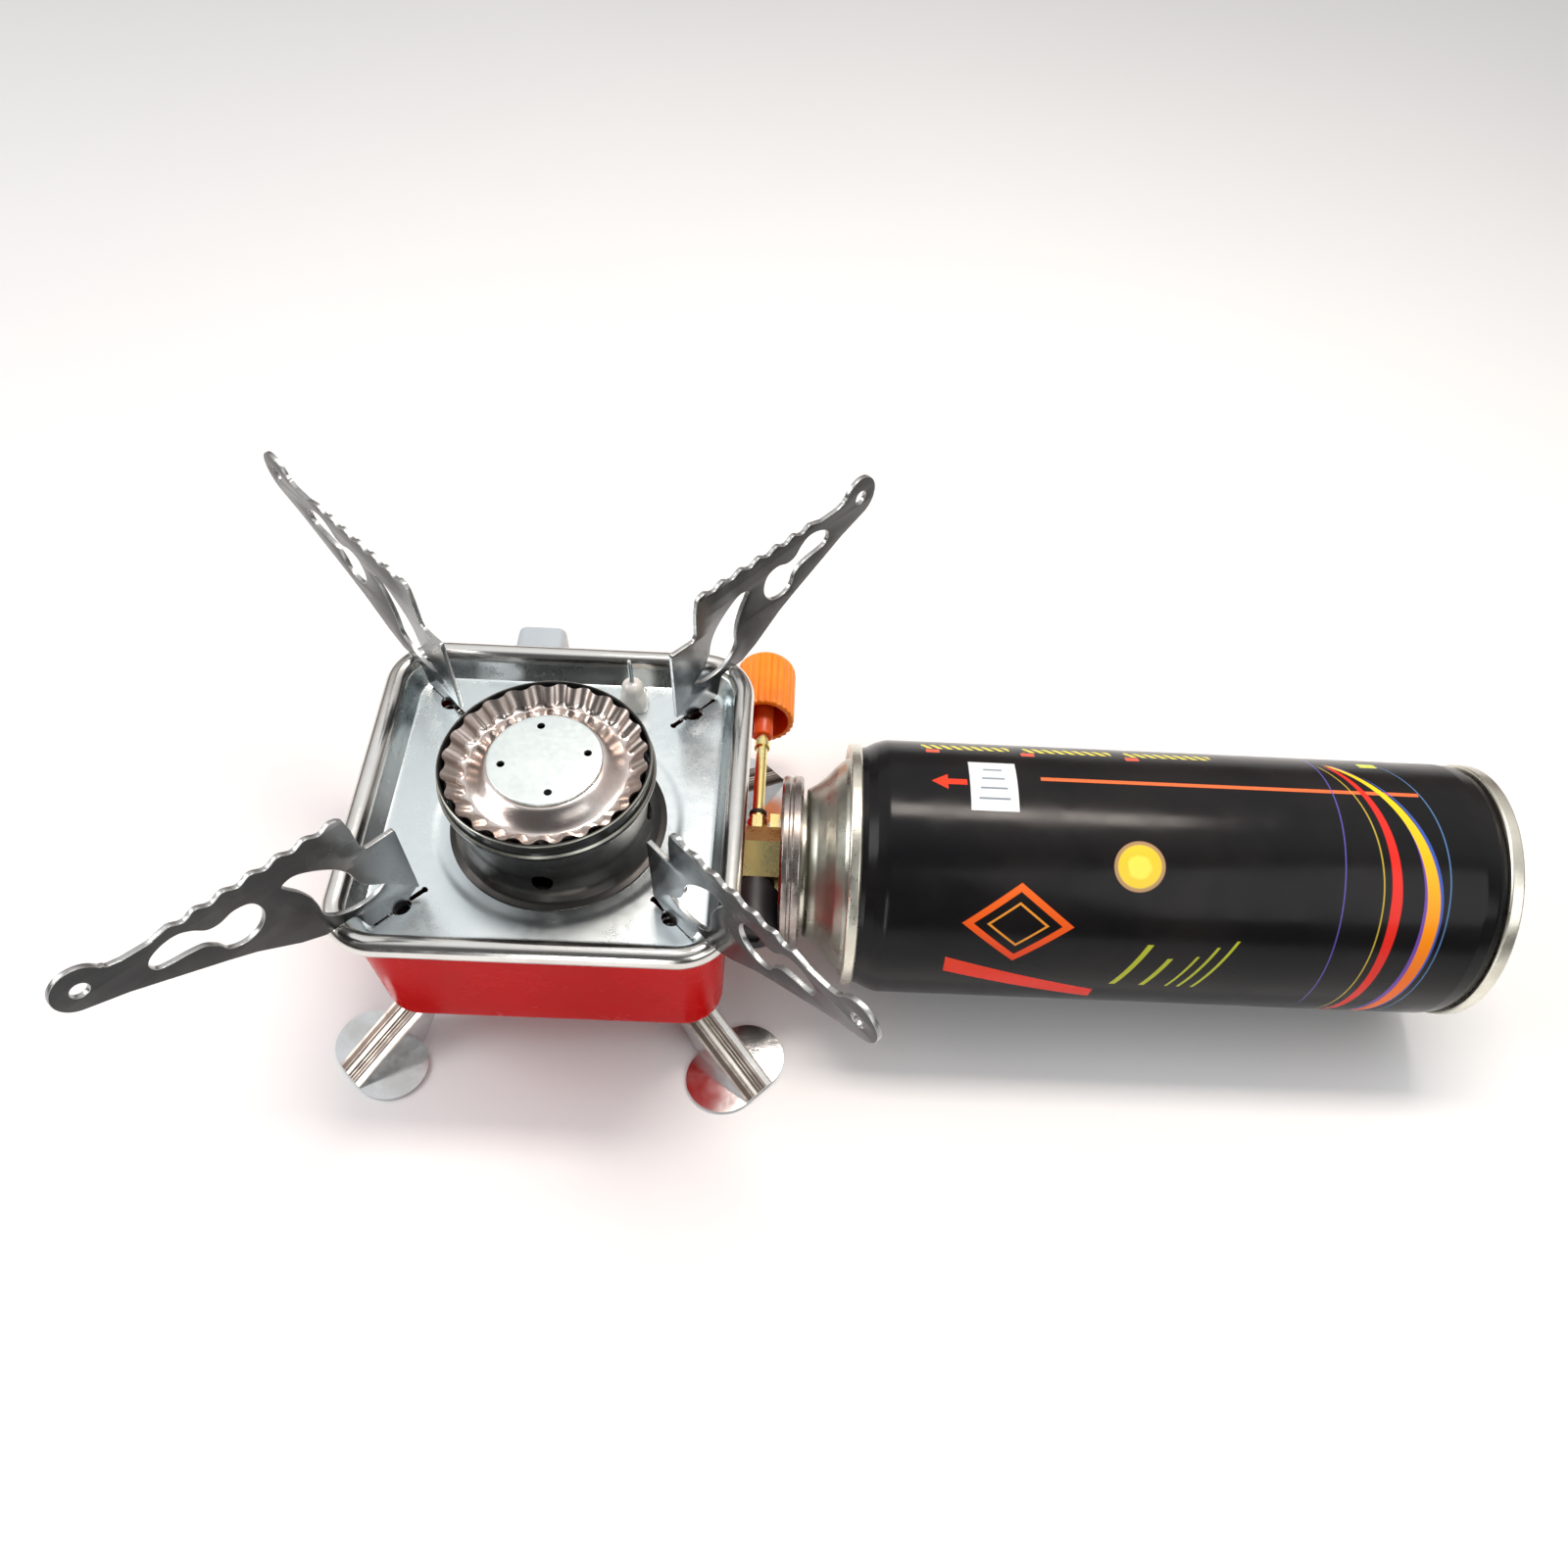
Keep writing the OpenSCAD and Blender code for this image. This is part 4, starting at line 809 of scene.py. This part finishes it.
# ------------------------------------------------------------------ knob, button
def build_knob():
    y0, R, nr = 45.8, 8.7, 26
    L = 2.0
    m = nr * 12
    prof = [(0, y0 + 11.1), (2.4, y0 + 11.1), (2.75, y0 + 10.8), (2.8, y0 - 5.6), (2.5, y0 - 6.0), (1.65, y0 - 6.0)]

    def wob(r, h, t):
        if r > 7.35 and h < y0 + L + 16.9:
            c = math.cos(nr * t)
            g = max(0.0, min(1.0, (r - 7.35) / 0.5)) * max(0.0, min(1.0, (y0 + L + 16.9 - h) / 0.8))
            return r - 0.42 * g * (1 - (0.5 + 0.5 * c) ** 0.55), h
        return r, h
    outer = [(6.9, y0 + 11.6), (6.9, y0 + 0.5), (7.05, y0 + 0.12), (7.4, y0), (8.3, y0), (8.6, y0 + 0.2), (8.7, y0 + 0.6)] + [(8.7, y0 + 0.6 + (15.0 + L) * k / 6) for k in range(1, 7)]
    outer += [(a, y0 + L + b) for a, b in ((8.62, 16.2), (8.3, 16.9), (8.1, 17.3), (7.7, 17.8), (7.2, 18.1), (6.4, 18.2), (3.0, 17.95), (0, 17.9))]
    shell = [(0, y0 + 12.0), (6.4, y0 + 12.0), (6.8, y0 + 11.8)] + outer
    # inner sleeve faces and the hub take the painted-shade copy of the orange
    k1 = lathe("knob_shell", shell, [ORANGE, ORANGE_PAINTED_SHADE], "valve_spindle", axis="y", centre=(STEM_X, AZ), n=m, wobble=wob, closed=False, angle=45,
               pick=lambda r, h: 1 if h < y0 + 12.2 and r < 7.1 else 0)
    k2 = lathe("knob_hub", [(0, y0 + 12.0), (2.8, y0 + 12.0)] + prof[2:] + [(1.65, y0 + 0.1), (0, y0 + 0.1)], ORANGE_PAINTED_SHADE, "valve_spindle", axis="y", centre=(STEM_X, AZ), n=64, closed=False)
    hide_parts("control_knob")
    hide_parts("control_knob")


def build_button():
    """Soft-cornered push button with a slightly domed, dished end."""
    def ring(y, inset, r):
        w, h = 13.5 / 2 - inset, 5.0 - inset
        out = rounded([(-w, -h, r), (w, -h, r), (w, h, r), (-w, h, r)], 10)
        return [(BTN_X + a, y, BTN_Z + b) for a, b in out]
    rings = [ring(46.6, 1.2, 1.0), ring(46.6, 0.15, 1.9), ring(46.75, 0.0, 2.0), ring(55, 0.0, 2.0), ring(62.6, 0.06, 2.0), ring(63.3, 0.18, 2.0), ring(63.9, 0.5, 1.9), ring(64.25, 1.0, 1.7), ring(64.4, 1.6, 1.4), ring(64.42, 2.3, 1.1), ring(64.3, 3.2, 0.7), ring(64.2, 4.2, 0.4)]
    o = loft("button_cap", rings, GREY, "igniter_push", 55, close=False, cap=True)
    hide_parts("igniter_button")


# ------------------------------------------------------------------ cartridge
def build_cartridge():
    c = (AY, AZ)
    x0, x1, R = CAN0, CAN1, 33.2
    can = rounded([(30.9, x0 + 3.3, 0), (31.15, x0 + 4.6, 1.5), (32.3, x0 + 6.8, 4), (33.2, x0 + 9.6, 6), (33.2, x1 - 9.2, 5), (32.75, x1 - 5.8, 3), (32.0, x1 - 3.6, 0.4), (31.6, x1 - 3.6, 0), (32.5, x1 - 9, 0), (32.5, x0 + 10, 0), (30.4, x0 + 3.3, 0)], 10)
    k = lathe("can_wall", can, CAN_PRINT, "cartridge", axis="x", centre=c, n=240, angle=60)
    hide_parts("cartridge_can")
    top = rounded([(17.2, x0 - 10.2, 0.1), (19.3, x0 - 10.2, 0.5), (20.0, x0 - 9.3, 1), (21.1, x0 - 7.4, 4), (23.0, x0 - 5.2, 6), (25.7, x0 - 2.9, 6), (27.6, x0 - 0.6, 2), (28.3, x0 + 0.9, 0.6), (29.0, x0 + 0.9, 0.5), (29.7, x0 + 0.05, 0.5),
                   (31.5, x0 + 0.02, 0.6), (31.9, x0 + 0.5, 0.5), (31.9, x0 + 2.7, 0.5), (31.4, x0 + 3.2, 0.3), (29.4, x0 + 3.2, 0), (27.5, x0 + 1.2, 0), (25.1, x0 - 2.3, 0), (22.2, x0 - 4.8, 0), (20.3, x0 - 7.2, 0), (19.2, x0 - 9.4, 0), (17.2, x0 - 9.4, 0)], 8)
    k = lathe("cartridge_dome", top, [DOME, SEAM], "cartridge", axis="x", centre=c, n=200, angle=60, pick=lambda r, h: 1 if r > 28.6 else 0)
    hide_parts("cartridge_top_end")
    base = rounded([(0, x1 - 7, 0), (12, x1 - 6.6, 20), (22, x1 - 5, 10), (28, x1 - 2.9, 3), (29.6, x1 - 2.4, 1), (30.3, x1 - 2.6, 0.3), (30.6, x1 - 3.5, 0.2), (32.9, x1 - 3.5, 0.3), (33.3, x1 - 3.1, 0.4), (33.3, x1 - 0.4, 0.5), (32.8, x1 - 0.02, 0.5),
                    (31.0, x1 - 0.02, 0.5), (30.6, x1 - 0.5, 0.4), (30.3, x1 - 1.7, 0.4), (29.5, x1 - 1.8, 0.6), (27.8, x1 - 2.2, 3), (21.8, x1 - 4.4, 10), (12, x1 - 6.0, 20), (0, x1 - 6.4, 0)], 8)
    k = lathe("cartridge_foot", base, [DOME, SEAM], "cartridge", axis="x", centre=c, n=200, angle=60, closed=False, pick=lambda r, h: 1 if r > 30.2 else 0)
    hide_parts("cartridge_base_end")


def build_adapter():
    c = (AY, AZ)
    prof = rounded([(6, 57.3, 0), (10, 57.3, 0), (10.3, 57.55, 0.2), (19.8, 57.55, 0.2), (20.1, 57.3, 0.2), (22.1, 57.3, 0.5), (22.8, 57.95, 0.4), (22.8, 59.25, 0.25), (22.45, 59.6, 0.15), (22.45, 60.2, 0.15), (22.8, 60.5, 0.25), (22.8, 62.15, 0.4), (22.2, 62.8, 0.3),
                    (21.35, 62.8, 0.2), (20.9, 62.4, 0.2), (20.9, 58.5, 0.2), (6, 58.5, 0)], 5)
    o = lathe("adapter_disc", prof, ADAPTER, "stove", axis="x", centre=c, n=180, angle=40)
    lug_v = []
    for x in (58.4, 61.7):
        for y in (-1.45, 1.45):
            for z in (18.3, 21.0):
                lug_v.append((x, AY + y, AZ + z))
    lug = finish_mesh("adapter_lug", lug_v, [(0, 1, 3, 2), (4, 6, 7, 5), (0, 4, 5, 1), (2, 3, 7, 6), (0, 2, 6, 4), (1, 5, 7, 3)], ADAPTER, "stove", 40)
    soften(lug, 0.25)
    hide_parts("adapter_plate")
    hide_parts("adapter_plate")


def build_electrode():
    x, y = ELEC
    def sq(z, w, d, r):
        out = rounded([(-w / 2, -d / 2, r), (w / 2, -d / 2, r), (w / 2, d / 2, r), (-w / 2, d / 2, r)], 8)
        return [(x + a, y + b, z) for a, b in out]
    rings = [sq(46.5, 4.4, 4.4, 2.1), sq(52.45, 4.4, 4.4, 2.1), sq(52.5, 6.9, 6.3, 1.5), sq(52.8, 7.2, 6.6, 1.6), sq(55.6, 7.2, 6.6, 1.8), sq(56.6, 6.9, 6.4, 2.2), sq(57.3, 6.3, 6.1, 2.6), sq(58.2, 5.9, 5.9, 2.8), sq(59.3, 5.8, 5.8, 2.85),
             sq(60.2, 5.2, 5.2, 2.55), sq(60.9, 4.0, 4.0, 1.95), sq(61.25, 2.6, 2.6, 1.25), sq(61.3, 1.3, 1.3, 0.62)]
    o = loft("electrode_post", rings, CERAMIC, "stove", 60, close=False, cap=True)
    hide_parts("electrode_insulator")


build_tray()
build_pan()
build_burner()
build_arms()
build_springs()
build_knob()
build_button()
build_cartridge()
build_adapter()
build_electrode()

# CAD nodes that are shown as they are, each with its finish
for key in CORNERS:
    leg = paint("leg_" + key, LEG, 0.18, 3)
    leg.data.materials.append(LEG_STRIP if key in ("front_left", "back_right") else LEG_STRIP_B)
    h = math.radians({"front_left": 225, "front_right": 315, "back_left": 135, "back_right": 45}[key])
    sx, sy = CORNERS[key][0], CORNERS[key][1]
    for p in leg.data.polygons:
        d = Vector((p.center.x - sx * 0.031, p.center.y - sy * 0.031))
        lat = -d.x * math.sin(h) + d.y * math.cos(h)
        if p.normal.z > 0.3 and abs(lat) < 0.0044 and p.center.z > 0.0011:
            p.material_index = 1
    paint("arm_retainer_" + key, HARDWARE, 0.12)
paint("leg_rivets", HARDWARE, 0.3, 3)
paint("leg_washers", HARDWARE, 0.1)
paint("mixing_bowl", INSERT)
paint("burner_tube", HARDWARE, 0.1)
paint("burner_screws", HARDWARE, 0.12)
paint("gas_jet", BRASS, 0.12)
# the wire takes the arm material, painted reflection tones included
paint("electrode_wire", ARM_PAINTED_REFLECTION, 0.08)
paint("ignition_lead", RUBBER)
paint("piezo_igniter", BLACK_PLASTIC, 0.25)
paint("valve_body", BRASS, 0.3, 3)
paint("valve_gland_nut", BRASS, 0.2)
paint("valve_bracket", HARDWARE, 0.15)
paint("bracket_screws", HARDWARE, 0.12)
paint("regulator_housing", BLACK_PLASTIC, 0.35, 3)
paint("adapter_seal", RUBBER, 0.15)
paint("valve_stem", BRASS, 0.15)
paint("stem_seal", RUBBER, 0.2)
paint("igniter_plunger", WHITE_PLASTIC, 0.2)
paint("cartridge_collar", SEAM, 0.2)
paint("cartridge_nozzle", WHITE_PLASTIC, 0.1)


# ------------------------------------------------------------------ studio
def floor_material():
    n = Nodes("studio_floor")
    n.set(Base_Color=n.mix(n.noise(6.0, 3.0), rgba(0.90, 0.90, 0.90), rgba(0.87, 0.87, 0.87)), Roughness=n.span(n.noise(9.0, 3.0), 0.3, 0.7, 0.7, 0.85))
    n.bump(n.noise(700.0, 2.0), 0.03, 0.0001)
    return n.mat


me = bpy.data.meshes.new("studio_floor")
S = 4.0
me.from_pydata([(-S, -S, -0.0002), (S, -S, -0.0002), (S, S, -0.0002), (-S, S, -0.0002)], [], [(0, 1, 2, 3)])
floor = bpy.data.objects.new("studio_floor", me)
me.materials.append(floor_material())
bpy.context.scene.collection.objects.link(floor)

world = bpy.data.worlds.new("studio")
bpy.context.scene.world = world
world.use_nodes = True
wt = world.node_tree
wt.nodes.clear()
out = wt.nodes.new("ShaderNodeOutputWorld")
bg = wt.nodes.new("ShaderNodeBackground")
tc = wt.nodes.new("ShaderNodeTexCoord")
sp = wt.nodes.new("ShaderNodeSeparateXYZ")
ramp = wt.nodes.new("ShaderNodeValToRGB")
wt.links.new(tc.outputs["Generated"], sp.inputs[0])
wn = wt.nodes.new("ShaderNodeTexNoise")
wn.inputs["Scale"].default_value = 2.2
wn.inputs["Detail"].default_value = 2.0
wt.links.new(tc.outputs["Generated"], wn.inputs["Vector"])
ma = wt.nodes.new("ShaderNodeMath")
ma.operation = "MULTIPLY_ADD"
wt.links.new(wn.outputs["Fac"], ma.inputs[0])
ma.inputs[1].default_value = 0.22
wt.links.new(sp.outputs[2], ma.inputs[2])
wt.links.new(ma.outputs[0], ramp.inputs[0])
e = ramp.color_ramp.elements
e[0].position = 0.10
e[0].color = (0.16, 0.13, 0.12, 1)
e[1].position = 0.36
e[1].color = (0.30, 0.25, 0.23, 1)
x = e.new(0.52)
x.color = (0.62, 0.60, 0.59, 1)
x = e.new(0.88)
x.color = (0.95, 0.96, 0.97, 1)
back = wt.nodes.new("ShaderNodeMapRange")
back.interpolation_type = "SMOOTHSTEP"
wt.links.new(sp.outputs[1], back.inputs[0])
back.inputs[1].default_value = -0.42
back.inputs[2].default_value = 0.10
back.inputs[3].default_value = 0.12
back.inputs[4].default_value = 1.0
dim = wt.nodes.new("ShaderNodeMix")
dim.data_type = "RGBA"
dim.blend_type = "MULTIPLY"
dim.inputs["Factor"].default_value = 1.0
wt.links.new(ramp.outputs[0], dim.inputs[6])
wt.links.new(back.outputs[0], dim.inputs[7])
wt.links.new(dim.outputs[2], bg.inputs[0])
bg.inputs[1].default_value = 0.93
wt.links.new(bg.outputs[0], out.inputs[0])


def area(name, loc, target, size, power, size_y=None, color=(1, 1, 1)):
    d = bpy.data.lights.new(name, "AREA")
    d.energy = power
    d.color = color
    d.size = size
    if size_y:
        d.shape = "RECTANGLE"
        d.size_y = size_y
    o = bpy.data.objects.new(name, d)
    bpy.context.scene.collection.objects.link(o)
    o.location = loc
    o.rotation_euler = (Vector(target) - Vector(loc)).to_track_quat("-Z", "Y").to_euler()
    return o


area("key", (-0.80, -0.05, 0.75), (0.05, 0, 0.03), 0.55, 4.2)
area("fill", (0.55, -0.55, 0.60), (0.08, 0, 0.03), 0.60, 2.2)
area("strip_front", (-0.10, -0.75, 0.22), (0.0, 0.0, 0.04), 0.10, 0.9, 0.5)
area("strip_top", (0.16, 0.16, 0.60), (0.15, 0, 0.05), 0.35, 2.4, 0.10, (1.0, 0.90, 0.82))


# ------------------------------------------------------------------ camera
def look():
    el, yaw, roll = math.radians(58.253), math.radians(2.074), math.radians(4.138)
    f = Vector((math.sin(yaw) * math.cos(el), math.cos(yaw) * math.cos(el), -math.sin(el)))
    r = Vector((math.cos(yaw), -math.sin(yaw), 0))
    u = r.cross(f)
    r2 = math.cos(roll) * r + math.sin(roll) * u
    u2 = -math.sin(roll) * r + math.cos(roll) * u
    cam = bpy.data.cameras.new("photo_view")
    cam.sensor_width = 36.0
    cam.lens = 1187.267 * 36.0 / 1600.0
    cam.shift_x = (800.0 - 826.70) / 1600.0
    cam.shift_y = (939.84 - 800.0) / 1600.0
    cam.clip_start = 0.01
    cam.clip_end = 20.0
    cam.dof.use_dof = False
    o = bpy.data.objects.new("photo_view", cam)
    bpy.context.scene.collection.objects.link(o)
    m = Matrix((r2, u2, -f)).transposed().to_4x4()
    m.translation = Vector((60.06, -178.54, 289.82)) * MM
    o.matrix_world = m
    bpy.context.scene.camera = o


look()
bpy.context.scene.view_settings.view_transform = "Standard"
